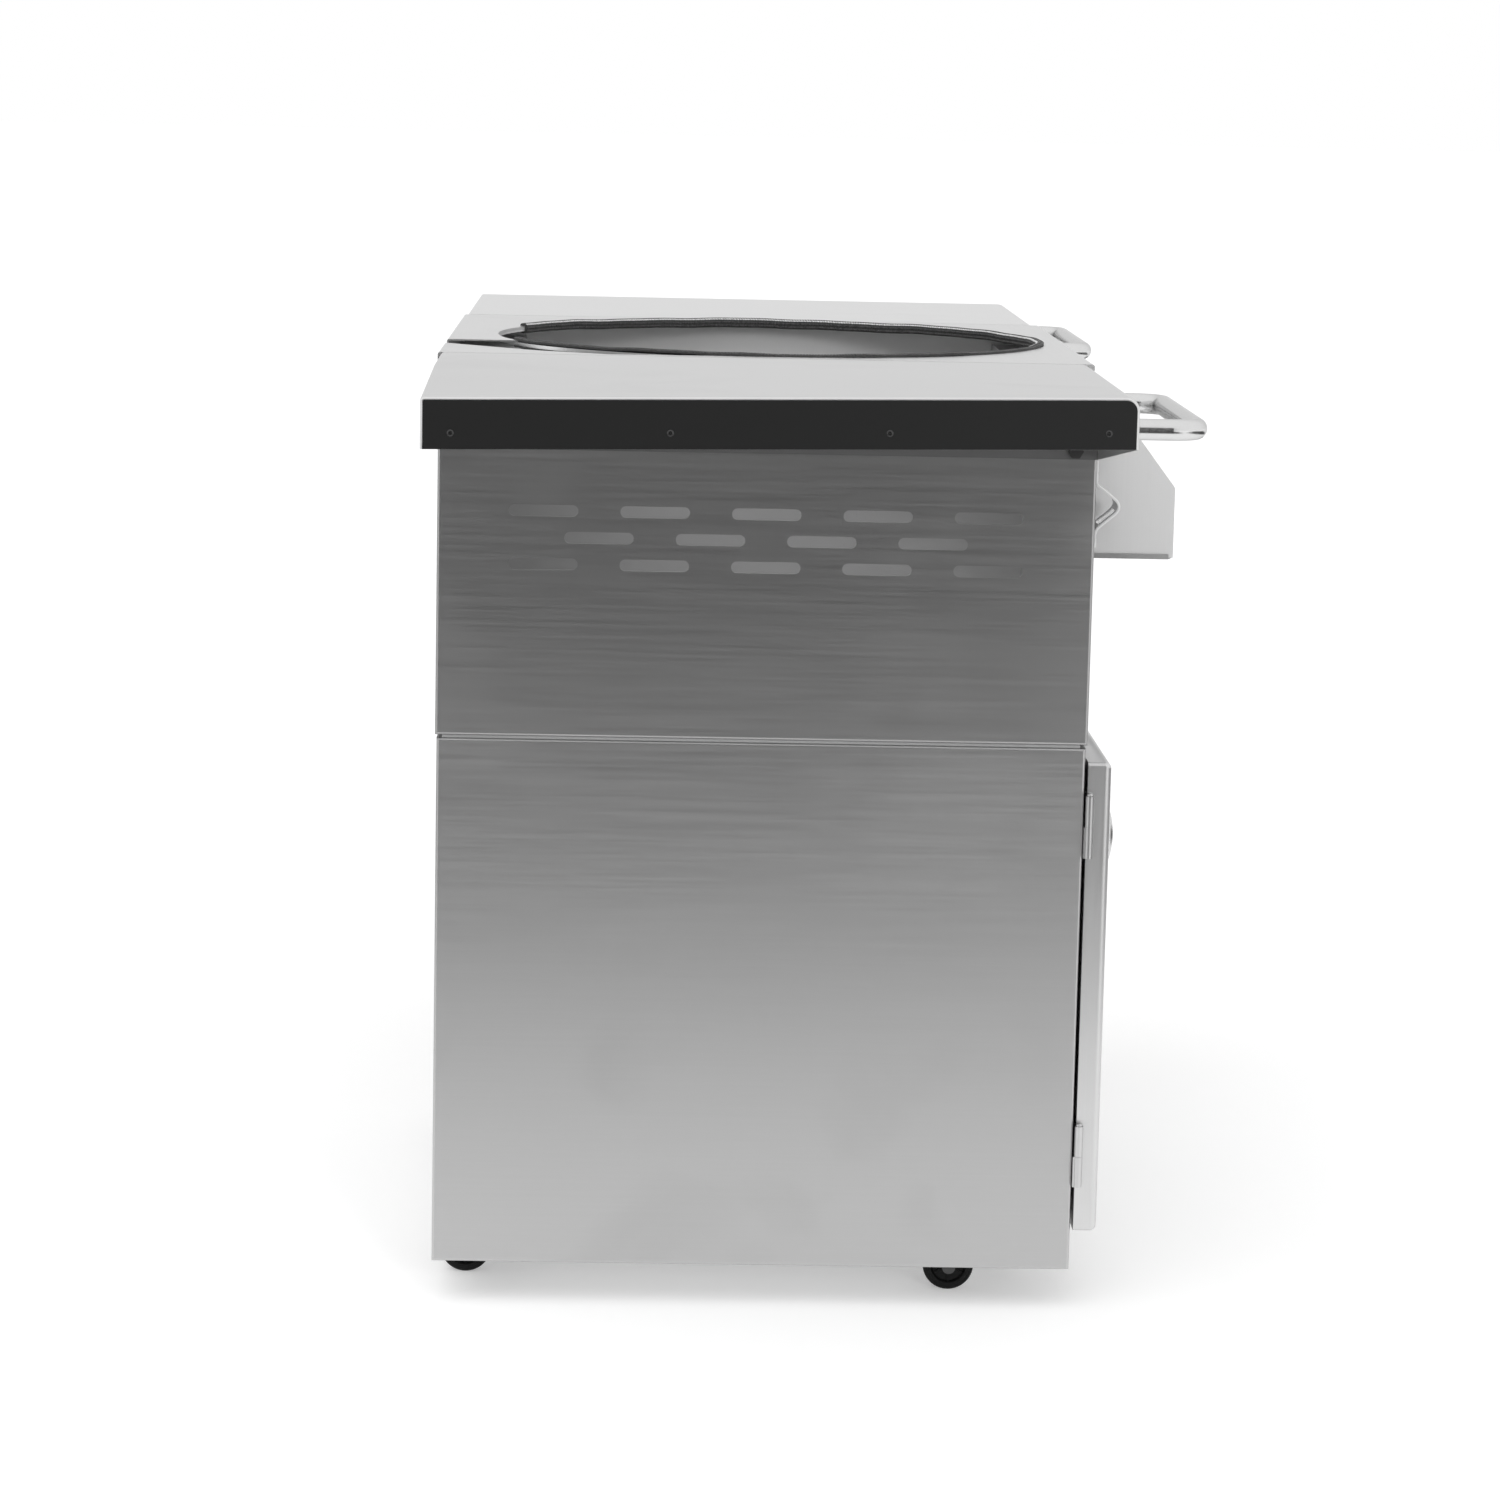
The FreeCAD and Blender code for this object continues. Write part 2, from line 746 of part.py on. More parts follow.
def left_shelf_mounting_plate():
    """An upright plate under the shelf that bolts to the housing, with a flange at its top."""
    low = table_height - apron_inner
    plate = shelf_block(-plate_outer_x, -housing_half_width, sheet, 0.0)
    plate = plate.common(box((-half_width, 0), (-half_depth, half_depth), (low, table_height)))
    flange_half = half_depth - plate_flange_inset
    flange = box(
        (-plate_outer_x - plate_flange, -plate_outer_x), (-flange_half, flange_half),
        (top_under - sheet, top_under))
    plate = fuse_all([plate, flange])
    for y_bolt in (-bolt_y, bolt_y):
        for z_bolt in bolt_rows:
            start = Vector(-plate_outer_x - sheet, y_bolt, z_bolt)
            plate = plate.cut(rod(bolt_hole_radius, start, start + X_AXIS * 3 * sheet))
    return plate


def shelf_bolts():
    """Hexagon bolts through the mounting plates and the housing, each with its nut."""
    pieces = []
    inner_x = -housing_half_width + sheet
    for y_bolt in (-bolt_y, bolt_y):
        for z_bolt in bolt_rows:
            outer = Vector(-plate_outer_x, y_bolt, z_bolt)
            inner = Vector(inner_x, y_bolt, z_bolt)
            head = hexagon(bolt_head_flats, outer - X_AXIS * bolt_head_height, outer)
            shank = rod(bolt_radius, outer - X_AXIS, inner + X_AXIS * (bolt_nut_height + bolt_end))
            nut = hexagon(bolt_head_flats, inner, inner + X_AXIS * bolt_nut_height)
            nut = nut.cut(rod(bolt_radius, inner - X_AXIS, inner + X_AXIS * 2 * bolt_nut_height))
            pieces += [fuse_all([head, shank]), nut]
    return Part.makeCompound(pieces + [mirrored(piece) for piece in pieces])


def tube_path(points, radius):
    """Straight runs joined by arcs of one radius, through points in a plane."""
    edges = []
    start = points[0]
    for before, corner, after in zip(points, points[1:], points[2:]):
        back = (before - corner).normalize()
        ahead = (after - corner).normalize()
        half_turn = back.getAngle(ahead) / 2
        reach = radius / math.tan(half_turn)
        enter = corner + back * reach
        leave = corner + ahead * reach
        inward = (back + ahead).normalize()
        middle = corner + inward * (radius / math.sin(half_turn) - radius)
        edges.append(Part.LineSegment(start, enter).toShape())
        edges.append(Part.Arc(enter, middle, leave).toShape())
        start = leave
    edges.append(Part.LineSegment(start, points[-1]).toShape())
    return Part.Wire(edges)


def pipe(path, start, direction, radius):
    circle = Part.Wire(Part.makeCircle(radius, start, direction))
    return path.makePipeShell([circle], True, False)


def left_towel_handle():
    """A bent tube whose two ends stand on the shelf's front apron."""
    foot_y = -shelf_half_depth
    bar_y = foot_y - towel_projection + towel_tube_radius
    points = [
        Vector(-towel_xs[0], foot_y, towel_z), Vector(-towel_xs[0], bar_y, towel_z),
        Vector(-towel_xs[1], bar_y, towel_z), Vector(-towel_xs[1], foot_y, towel_z)]
    path = tube_path(points, towel_bend_radius)
    outer = pipe(path, points[0], Y_AXIS, towel_tube_radius)
    inner = pipe(path, points[0], Y_AXIS, towel_tube_radius - towel_tube_wall)
    return outer.cut(inner)


def towel_handle_fixings():
    """A plug in each tube end, held by a screw from inside the apron."""
    pieces = []
    for x_leg, sheets in zip(towel_xs, (1, 3)):
        wall = Vector(-x_leg, -shelf_half_depth, towel_z)
        inside = wall + Y_AXIS * (sheets * sheet)
        plug = rod(towel_tube_radius - towel_tube_wall - plug_gap, wall - Y_AXIS * towel_plug_length, wall)
        shank = rod(towel_screw_radius, wall - Y_AXIS, inside + Y_AXIS)
        head = rod(towel_screw_head_radius, inside, inside + Y_AXIS * towel_screw_head_height)
        pieces.append(fuse_all([plug, shank, head]))
    return Part.makeCompound(pieces + [mirrored(piece) for piece in pieces])


def opener_screw_places():
    """The opener's screw centres on the front of the housing."""
    top = opener_top - opener_top_foot / 2
    low = opener_low_foot() + opener_bottom_foot / 2
    return [Vector(-opener_x, housing_front_y, top), Vector(-opener_x, housing_front_y, low)]


def opener_low_foot():
    """The height of the opener's lowest edge."""
    return opener_top - opener_top_foot - opener_arm_drop - opener_return_drop - opener_bottom_foot


def bottle_opener():
    """A strap bent to a point, with a mouth in its lower arm and a foot at each end."""
    wall = housing_front_y
    arm = opener_top - opener_top_foot
    tip = arm - opener_arm_drop
    low = tip - opener_return_drop
    line = [
        Vector(0, wall, opener_top),
        Vector(0, wall, arm),
        Vector(0, wall - opener_reach + opener_thickness, tip),
        Vector(0, wall, low),
        Vector(0, wall, opener_low_foot())]
    xs = (-opener_x - opener_width / 2, -opener_x + opener_width / 2)
    bends = {1: opener_bend_radius, 2: opener_tip_radius, 3: opener_bend_radius}
    strap = bent_strip(line, -opener_thickness, xs, bends)
    mouth_high = tip - opener_mouth_tip_gap
    mouth = box(
        (-opener_x - opener_mouth_width / 2, -opener_x + opener_mouth_width / 2),
        (wall - opener_reach - overrun, wall + overrun),
        (mouth_high - opener_mouth_height, mouth_high))
    strap = strap.cut(mouth)
    for place in opener_screw_places():
        hole_radius = opener_screw_radius + screw_hole_gap
        hole = rod(hole_radius, place - Y_AXIS * 2 * opener_thickness, place + Y_AXIS)
        strap = strap.cut(hole)
    return strap


def bottle_opener_screws():
    screws = []
    for place in opener_screw_places():
        face = place - Y_AXIS * opener_thickness
        head = rod(opener_screw_head_radius, face - Y_AXIS * opener_screw_head_height, face)
        rim = [edge for edge in head.Edges if near(edge.CenterOfMass.y, face.y - opener_screw_head_height)]
        head = head.makeFillet(opener_screw_head_height / 2, rim)
        shank = rod(opener_screw_radius, face - Y_AXIS, face + Y_AXIS * opener_screw_length)
        screws.append(fuse_all([head, shank]))
    return Part.makeCompound(screws)


def left_door_skin():
    """The outer door pan with rounded front edges and corners."""
    xs = (-door_outer_x, -door_inner_x)
    outer = box(xs, (door_front_y, door_back_y), (door_bottom, door_top))
    outer = outer.makeFillet(door_corner_radius, straight_edges(outer, Y_AXIS, lambda c: True))
    rim = [edge for edge in outer.Edges if near(edge.CenterOfMass.y, door_front_y)]
    outer = outer.makeFillet(door_edge_radius, rim)
    inner = box(
        (xs[0] + door_sheet, xs[1] - door_sheet), (door_front_y + door_sheet, door_back_y + overrun),
        (door_bottom + door_sheet, door_top - door_sheet))
    inner = inner.makeFillet(
        door_corner_radius - door_sheet, straight_edges(inner, Y_AXIS, lambda c: True))
    crease = [edge for edge in inner.Edges if near(edge.CenterOfMass.y, door_front_y + door_sheet)]
    inner = inner.makeFillet(door_edge_radius - door_sheet, crease)
    skin = outer.cut(inner)
    for place in handle_screw_places():
        skin = skin.cut(rod(handle_screw_hole, place - Y_AXIS, place + Y_AXIS * 2 * door_sheet))
    return skin


def left_door_liner():
    """The flat inner sheet that closes the back of the door pan."""
    inset = door_sheet + liner_inset
    liner = box(
        (-door_outer_x + inset, -door_inner_x - inset), (door_back_y - door_sheet, door_back_y),
        (door_bottom + inset, door_top - inset))
    return liner.makeFillet(door_corner_radius - door_sheet, straight_edges(liner, Y_AXIS, lambda c: True))


def handle_screw_places():
    """The centres of the handle's feet on the front of the -X door."""
    half = handle_spacing / 2
    return [
        Vector(-handle_x, door_front_y, handle_z - half),
        Vector(-handle_x, door_front_y, handle_z + half)]


def left_door_handle():
    """An arched bar: short straight feet, tight corners and one long curve between them."""
    angle = math.radians(handle_arch_angle)
    corner = handle_corner_radius
    half = handle_spacing / 2
    arch = (half - corner * (1 - math.sin(angle))) / math.sin(angle)
    rise = handle_projection - handle_rod_radius
    foot = rise - corner * math.cos(angle) - arch * (1 - math.cos(angle))

    def place(out, up):
        return Vector(-handle_x, door_front_y - out, handle_z + up)

    middle_angle = (math.pi / 2 + angle) / 2
    bend_out = foot + corner * math.cos(angle)
    bend_up = half - corner * (1 - math.sin(angle))
    middle_out = foot + corner * math.cos(middle_angle)
    middle_up = half - corner * (1 - math.sin(middle_angle))
    edges = [
        Part.LineSegment(place(0, -half), place(foot, -half)).toShape(),
        Part.Arc(place(foot, -half), place(middle_out, -middle_up), place(bend_out, -bend_up)).toShape(),
        Part.Arc(place(bend_out, -bend_up), place(rise, 0), place(bend_out, bend_up)).toShape(),
        Part.Arc(place(bend_out, bend_up), place(middle_out, middle_up), place(foot, half)).toShape(),
        Part.LineSegment(place(foot, half), place(0, half)).toShape()]
    bar = pipe(Part.Wire(edges), place(0, -half), Y_AXIS, handle_rod_radius)
    for centre in handle_screw_places():
        bar = bar.cut(rod(handle_screw_radius, centre + Y_AXIS, centre - Y_AXIS * handle_screw_reach))
    return bar


def left_door_handle_screws():
    screws = []
    for centre in handle_screw_places():
        inside = centre + Y_AXIS * door_sheet
        shank = rod(handle_screw_radius, centre - Y_AXIS * handle_screw_reach, inside + Y_AXIS)
        head = rod(handle_screw_head_radius, inside, inside + Y_AXIS * handle_screw_head_height)
        screws.append(fuse_all([shank, head]))
    return Part.makeCompound(screws)


def hinge_leaf(low, high, y_near, y_far, bore):
    """A leaf in the door gap with a block and a round knuckle outside the cabinet's side."""
    axis = Vector(-hinge_x, hinge_y, low)
    leaf = box((-hinge_x, -housing_half_width + leaf_width), (y_near, y_far), (low, high))
    root = box(
        (-hinge_x - knuckle_radius / 2, -housing_half_width - knuckle_side_gap), (hinge_y, y_far),
        (low, high))
    knuckle = Part.makeCylinder(knuckle_radius, high - low, axis)
    whole = fuse_all([leaf, root, knuckle])
    return whole.cut(Part.makeCylinder(bore, high - low, axis))


def left_frame_leaves():
    leaves = []
    for low in hinge_lows:
        back = cabinet_front_y
        leaves.append(hinge_leaf(low, low + hinge_height / 2, back - leaf_thickness, back, pin_radius))
    return leaves


def hinge_frame_leaves():
    """The lower halves of the hinges, fixed to the cabinet's front flanges."""
    left = left_frame_leaves()
    return Part.makeCompound(left + [mirrored(leaf) for leaf in left])


def left_door_hinge_leaves():
    """The upper halves of the hinges, fixed to the back of the door."""
    leaves = []
    bore = pin_radius + pin_running_gap
    for low in hinge_lows:
        middle = low + hinge_height / 2
        front = door_back_y
        leaf_low = middle + knuckle_end_gap
        leaves.append(hinge_leaf(leaf_low, low + hinge_height, front, front + leaf_thickness, bore))
    return Part.makeCompound(leaves)


def hinge_pins():
    """A pin in each lower knuckle, with a domed head above the upper one."""
    pins = []
    for low in hinge_lows:
        foot = Vector(-hinge_x, hinge_y, low)
        seat = foot + Z_AXIS * (hinge_height + knuckle_end_gap)
        shank = rod(pin_radius, foot, seat + Z_AXIS * touch)
        head = Part.makeCylinder(pin_head_radius, pin_head_height, seat)
        rim = [edge for edge in head.Edges if near(edge.CenterOfMass.z, seat.z + pin_head_height)]
        head = head.makeFillet(pin_head_height * 0.7, rim)
        pins.append(fuse_all([shank, head]))
    return Part.makeCompound(pins + [mirrored(pin) for pin in pins])


def left_catch():
    high = door_top - catch_drop
    xs = (-door_inner_x - catch_edge_inset - catch_width, -door_inner_x - catch_edge_inset)
    return box(
        xs, (cabinet_front_y + sheet, door_back_y + striker_thickness + catch_gap),
        (high - catch_height, high))


def door_catches():
    """Magnet blocks on the frame's top rail, one behind each door."""
    catch = left_catch()
    return Part.makeCompound([catch, mirrored(catch)])


def left_door_striker():
    high = door_top - catch_drop - striker_margin
    low = door_top - catch_drop - catch_height + striker_margin
    near_x = -door_inner_x - catch_edge_inset - striker_margin
    far_x = -door_inner_x - catch_edge_inset - catch_width + striker_margin
    return box((far_x, near_x), (door_back_y, door_back_y + striker_thickness), (low, high))


def caster_places():
    """The swivel centres: name, X and Y."""
    return [
        ("front_left", -front_caster_x, -front_caster_y),
        ("front_right", front_caster_x, -front_caster_y),
        ("rear_left", -rear_caster_x, rear_caster_y),
        ("rear_right", rear_caster_x, rear_caster_y)]


def caster_bolt_places():
    """The caster bolts' centres on the underside of the caster plates."""
    places = []
    half = caster_bolt_spacing / 2
    for name, x_swivel, y_swivel in caster_places():
        for x_step in (-half, half):
            for y_step in (-half, half):
                places.append(Vector(x_swivel + x_step, y_swivel + y_step, plate_low))
    return places


def caster_plates():
    """The top plates under the base pan, each with its swivel stem."""
    plates = []
    half = caster_plate_size / 2
    for name, x_swivel, y_swivel in caster_places():
        plate = box(
            (x_swivel - half, x_swivel + half), (y_swivel - half, y_swivel + half), (plate_low, base_height))
        stem_foot = crown_low - swivel_gap
        stem_low = Vector(x_swivel, y_swivel, stem_foot)
        stem = rod(stem_radius, stem_low, Vector(x_swivel, y_swivel, base_height))
        head_low = Vector(x_swivel, y_swivel, stem_foot - stem_head_height)
        head = Part.makeCylinder(stem_head_radius, stem_head_height, head_low)
        whole = fuse_all([plate, stem, head])
        for hole in caster_bolt_places():
            hole_radius = caster_bolt_radius + screw_hole_gap
            whole = whole.cut(rod(hole_radius, hole - Z_AXIS, hole + Z_AXIS * 2 * sheet))
        plates.append(whole)
    return Part.makeCompound(plates)


def caster_bolts():
    """Bolts from below through the caster plates and the base pan, each with its nut."""
    pieces = []
    for place in caster_bolt_places():
        top = Vector(place.x, place.y, base_height + sheet)
        head = rod(caster_bolt_head_radius, place - Z_AXIS * caster_bolt_head_height, place)
        shank = rod(caster_bolt_radius, place - Z_AXIS, top + Z_AXIS * (caster_bolt_nut_height + sheet))
        nut = hexagon(2 * caster_bolt_head_radius, top, top + Z_AXIS * caster_bolt_nut_height)
        nut = nut.cut(rod(caster_bolt_radius, top - Z_AXIS, top + Z_AXIS * 2 * caster_bolt_nut_height))
        pieces += [fuse_all([head, shank]), nut]
    return Part.makeCompound(pieces)


def caster_fork(x_swivel, y_swivel):
    """A pressed fork that turns on the stem and carries the wheel behind it."""
    centre = Vector(x_swivel, y_swivel, crown_low)
    crown = Part.makeCylinder(crown_radius, crown_height + crown_plate, centre)
    y_axle = y_swivel + caster_trail
    leg_top = crown_low + crown_plate
    pieces = [crown]
    bridge = box(
        (x_swivel - axle_half, x_swivel + axle_half), (y_swivel, y_swivel + fork_leg_half),
        (crown_low, leg_top))
    pieces.append(bridge)
    for side in (-1, 1):
        x_leg = x_swivel + side * fork_half
        points = [
            Vector(x_leg, y_swivel - fork_leg_half, leg_top),
            Vector(x_leg, y_swivel + fork_leg_half, leg_top),
            Vector(x_leg, y_axle + fork_boss_radius, wheel_radius),
            Vector(x_leg, y_axle - fork_boss_radius, wheel_radius)]
        along = X_AXIS * (side * fork_wall)
        start = Vector(x_leg, y_axle, wheel_radius)
        pieces.append(prism(points, along))
        pieces.append(rod(fork_boss_radius, start, start + along))
    fork = fuse_all(pieces)
    bore_top = Vector(x_swivel, y_swivel, crown_top + overrun)
    bore_low = Vector(x_swivel, y_swivel, crown_low - overrun)
    axle_start = Vector(x_swivel - axle_half - overrun, y_axle, wheel_radius)
    axle_end = Vector(x_swivel + axle_half + overrun, y_axle, wheel_radius)
    return fork.cut([rod(stem_radius + stem_gap, bore_low, bore_top), rod(axle_radius, axle_start, axle_end)])


def caster_axle(x_swivel, y_swivel):
    """The axle bolt across the fork, with a head and a nut outside its legs."""
    y_axle = y_swivel + caster_trail
    left = Vector(x_swivel - axle_half, y_axle, wheel_radius)
    right = Vector(x_swivel + axle_half, y_axle, wheel_radius)
    shaft = rod(axle_radius, left - X_AXIS, right + X_AXIS)
    head = rod(axle_head_radius, left - X_AXIS * axle_head_height, left)
    nut = hexagon(2 * axle_head_radius, right, right + X_AXIS * axle_head_height)
    return fuse_all([shaft, head, nut])


def caster_wheel(x_swivel, y_swivel):
    """A wheel with rounded tread edges and a dished face around its hub."""
    y_axle = y_swivel + caster_trail
    half = wheel_width / 2
    wheel = Part.makeCylinder(
        wheel_radius, wheel_width, Vector(x_swivel - half, y_axle, wheel_radius), X_AXIS)
    rims = [edge for edge in wheel.Edges if isinstance(edge.Curve, Part.Circle)]
    wheel = wheel.makeFillet(wheel_edge_radius, rims)
    cuts = []
    for side in (-1, 1):
        face = Vector(x_swivel + side * half, y_axle, wheel_radius)
        floor = face - X_AXIS * (side * wheel_dish_depth)
        dish = rod(wheel_dish_radius, floor, face + X_AXIS * side)
        hub = rod(wheel_hub_radius, floor, face + X_AXIS * side)
        cuts.append(dish.cut(hub))
    bore_half = half + overrun
    cuts.append(rod(
        axle_radius + axle_running_gap, Vector(x_swivel - bore_half, y_axle, wheel_radius),
        Vector(x_swivel + bore_half, y_axle, wheel_radius)))
    return wheel.cut(cuts)


def save(name, shape):
    """Writes one node, after looking that its solids are sound."""
    if not shape.isValid() or not shape.Solids:
        raise ValueError("unsound shape: " + name)
    shape.translated(Y_AXIS * origin_shift).exportStep("parts/" + name + ".step")
    print(name, len(shape.Solids), "solids", round(shape.Volume / 1000, 1), "cm3")


def main():
    os.makedirs("parts", exist_ok=True)
    pairs = {
        "cabinet_left_side": cabinet_left_side,
        "housing_left_side": housing_left_side,
        "fascia_left_cheek": fascia_left_cheek,
        "left_shelf_pan": left_shelf_pan,
        "left_shelf_end_cap": left_shelf_end_cap,
        "left_shelf_mounting_plate": left_shelf_mounting_plate,
        "left_towel_handle": left_towel_handle,
        "left_door_skin": left_door_skin,
        "left_door_liner": left_door_liner,
        "left_door_handle": left_door_handle,
        "left_door_handle_screws": left_door_handle_screws,
        "left_door_hinge_leaves": left_door_hinge_leaves,
        "left_door_striker": left_door_striker}
    for name, make in pairs.items():
        shape = make()
        save(name, shape)
        save(name.replace("left", "right"), mirrored(shape))
    singles = {
        "cabinet_back": cabinet_back,
        "base_pan": base_pan,
        "door_frame": door_frame,
        "kamado_deck": kamado_deck,
        "deck_stiffeners": deck_stiffeners,
        "housing_back": housing_back,
        "housing_front": housing_front,
        "fascia_panel": fascia_panel,
        "middle_top_panel": middle_top_panel,
        "opening_ring": opening_ring,
        "opening_edge_trim": opening_edge_trim,
        "top_rails": top_rails,
        "end_cap_rivets": end_cap_rivets,
        "shelf_bolts": shelf_bolts,
        "towel_handle_fixings": towel_handle_fixings,
        "bottle_opener": bottle_opener,
        "bottle_opener_screws": bottle_opener_screws,
        "hinge_frame_leaves": hinge_frame_leaves,
        "hinge_pins": hinge_pins,
        "door_catches": door_catches,
        "caster_plates": caster_plates,
        "caster_bolts": caster_bolts}
    for name, make in singles.items():
        save(name, make())
    for name, x_swivel, y_swivel in caster_places():
        save(name + "_caster_fork", caster_fork(x_swivel, y_swivel))
        save(name + "_caster_axle", caster_axle(x_swivel, y_swivel))
        save(name + "_caster_wheel", caster_wheel(x_swivel, y_swivel))


main()
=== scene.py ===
import math

import bmesh
import bpy
from mathutils import Matrix, Vector


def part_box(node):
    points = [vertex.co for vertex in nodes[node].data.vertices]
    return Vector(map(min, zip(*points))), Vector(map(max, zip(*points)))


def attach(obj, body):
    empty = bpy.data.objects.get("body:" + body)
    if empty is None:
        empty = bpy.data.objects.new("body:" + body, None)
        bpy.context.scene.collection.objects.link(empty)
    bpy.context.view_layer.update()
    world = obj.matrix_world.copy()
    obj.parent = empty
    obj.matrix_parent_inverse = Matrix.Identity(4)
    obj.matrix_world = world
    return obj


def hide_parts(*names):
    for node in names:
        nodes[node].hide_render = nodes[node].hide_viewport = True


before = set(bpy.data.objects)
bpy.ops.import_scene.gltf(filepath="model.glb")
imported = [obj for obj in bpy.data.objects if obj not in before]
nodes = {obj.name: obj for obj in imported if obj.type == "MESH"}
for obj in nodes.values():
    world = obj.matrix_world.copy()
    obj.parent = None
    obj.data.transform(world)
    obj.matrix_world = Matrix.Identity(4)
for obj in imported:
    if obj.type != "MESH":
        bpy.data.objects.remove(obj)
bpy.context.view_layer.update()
scene = bpy.context.scene
scene.view_settings.view_transform = "Standard"


# Camera: stands off the table's left end, a little above the tops, and looks along the table.
# Its place, turn and lens come from lines of the object that were fitted to its measured sizes.
camera_place = Vector((-4.4624, 0.1587, 1.1995))
camera_turn = math.radians(-1.510)
camera_tilt = math.radians(9.068)
camera_roll = math.radians(-1.215)
camera_lens_mm = 104.52

ahead = Vector((
    math.cos(camera_tilt) * math.cos(camera_turn),
    math.cos(camera_tilt) * math.sin(camera_turn),
    -math.sin(camera_tilt)))
level_right = ahead.cross(Vector((0, 0, 1))).normalized()
level_up = level_right.cross(ahead)
camera_right = level_right * math.cos(camera_roll) - level_up * math.sin(camera_roll)
camera_up = level_right * math.sin(camera_roll) + level_up * math.cos(camera_roll)
camera_axes = Matrix((camera_right, camera_up, -ahead)).transposed().to_4x4()

camera_data = bpy.data.cameras.new("camera")
camera_data.lens = camera_lens_mm
camera_data.sensor_width = 36.0
camera_data.clip_end = 200.0
camera = bpy.data.objects.new("camera", camera_data)
camera.matrix_world = Matrix.Translation(camera_place) @ camera_axes
scene.collection.objects.link(camera)
scene.camera = camera


# Studio: a pale floor that runs to the horizon, under a white sky, with one broad soft lamp above
# and a low one from the left that reaches into the housing. Neither lamp shows in the metal.
# Floor and sky look white to the eye, in metal and through glass; the floor keeps the shadow.
floor_half = 60.0
floor_drop = 0.0002
floor_colour = (0.80, 0.80, 0.80, 1.0)
floor_lift = 0.32
sky_white = 1.0
sky_fill = 0.55
sun_strength = 1.5
sun_angle = 70.0
sun_turn = (math.radians(-14), math.radians(-32), 0)
side_strength = 0.8
side_angle = 12.0
side_beam = Vector((0.94, 0.34, -0.31))


def new_material(name):
    """An empty node material with its output."""
    material = bpy.data.materials.new(name)
    material.use_nodes = True
    material.node_tree.nodes.clear()
    output = material.node_tree.nodes.new("ShaderNodeOutputMaterial")
    return material, material.node_tree, output


def seen_directly(tree):
    """A value of 1 for what the eye sees directly, in metal or through glass."""
    path = tree.nodes.new("ShaderNodeLightPath")
    either = tree.nodes.new("ShaderNodeMath")
    either.operation = "MAXIMUM"
    tree.links.new(path.outputs["Is Camera Ray"], either.inputs[0])
    tree.links.new(path.outputs["Is Glossy Ray"], either.inputs[1])
    whole = tree.nodes.new("ShaderNodeMath")
    whole.operation = "MAXIMUM"
    tree.links.new(either.outputs[0], whole.inputs[0])
    tree.links.new(path.outputs["Is Transmission Ray"], whole.inputs[1])
    return whole.outputs[0]


def stage_plane(name, low, high, material):
    """A flat rectangle between two corners, marked as not part of the object."""
    mesh = bpy.data.meshes.new(name)
    shape = bmesh.new()
    bmesh.ops.create_grid(shape, x_segments=1, y_segments=1, size=0.5)
    span = Vector(high) - Vector(low)
    thin = min(range(3), key=lambda axis: abs(span[axis]))
    if thin < 2:
        upright_turn = Matrix.Rotation(math.radians(90), 3, "YX"[thin])
        bmesh.ops.rotate(shape, verts=shape.verts, matrix=upright_turn)
    span[thin] = 1.0
    bmesh.ops.scale(shape, verts=shape.verts, vec=span)
    bmesh.ops.translate(shape, verts=shape.verts, vec=(Vector(high) + Vector(low)) / 2)
    shape.to_mesh(mesh)
    shape.free()
    mesh.materials.append(material)
    plane = bpy.data.objects.new(name, mesh)
    scene.collection.objects.link(plane)
    return plane


floor_material, tree, output = new_material("pale_floor")
matte = tree.nodes.new("ShaderNodeBsdfDiffuse")
matte.inputs["Color"].default_value = floor_colour
lift = tree.nodes.new("ShaderNodeEmission")
lift.inputs["Color"].default_value = (1.0, 1.0, 1.0, 1.0)
lift_amount = tree.nodes.new("ShaderNodeMath")
lift_amount.operation = "MULTIPLY"
lift_amount.inputs[1].default_value = floor_lift
tree.links.new(seen_directly(tree), lift_amount.inputs[0])
tree.links.new(lift_amount.outputs[0], lift.inputs["Strength"])
both = tree.nodes.new("ShaderNodeAddShader")
tree.links.new(matte.outputs[0], both.inputs[0])
tree.links.new(lift.outputs[0], both.inputs[1])
tree.links.new(both.outputs[0], output.inputs["Surface"])
stage_plane(
    "floor", (-floor_half, -floor_half, -floor_drop), (floor_half, floor_half, -floor_drop),
    floor_material)

world = bpy.data.worlds.new("studio")
scene.world = world
world.use_nodes = True
tree = world.node_tree
tree.nodes.clear()
output = tree.nodes.new("ShaderNodeOutputWorld")
sky = tree.nodes.new("ShaderNodeBackground")
sky.inputs["Color"].default_value = (1.0, 1.0, 1.0, 1.0)
strength = tree.nodes.new("ShaderNodeMapRange")
strength.inputs["To Min"].default_value = sky_fill
strength.inputs["To Max"].default_value = sky_white
tree.links.new(seen_directly(tree), strength.inputs["Value"])
tree.links.new(strength.outputs["Result"], sky.inputs["Strength"])
tree.links.new(sky.outputs[0], output.inputs["Surface"])

sun_data = bpy.data.lights.new("overhead_lamp", "SUN")
sun_data.energy = sun_strength
sun_data.angle = math.radians(sun_angle)
sun = bpy.data.objects.new("overhead_lamp", sun_data)
sun.rotation_euler = sun_turn
sun.visible_glossy = False
scene.collection.objects.link(sun)

side_data = bpy.data.lights.new("side_lamp", "SUN")
side_data.energy = side_strength
side_data.angle = math.radians(side_angle)
side_lamp = bpy.data.objects.new("side_lamp", side_data)
side_lamp.rotation_euler = side_beam.to_track_quat("-Z", "Y").to_euler()
side_lamp.visible_glossy = False
scene.collection.objects.link(side_lamp)


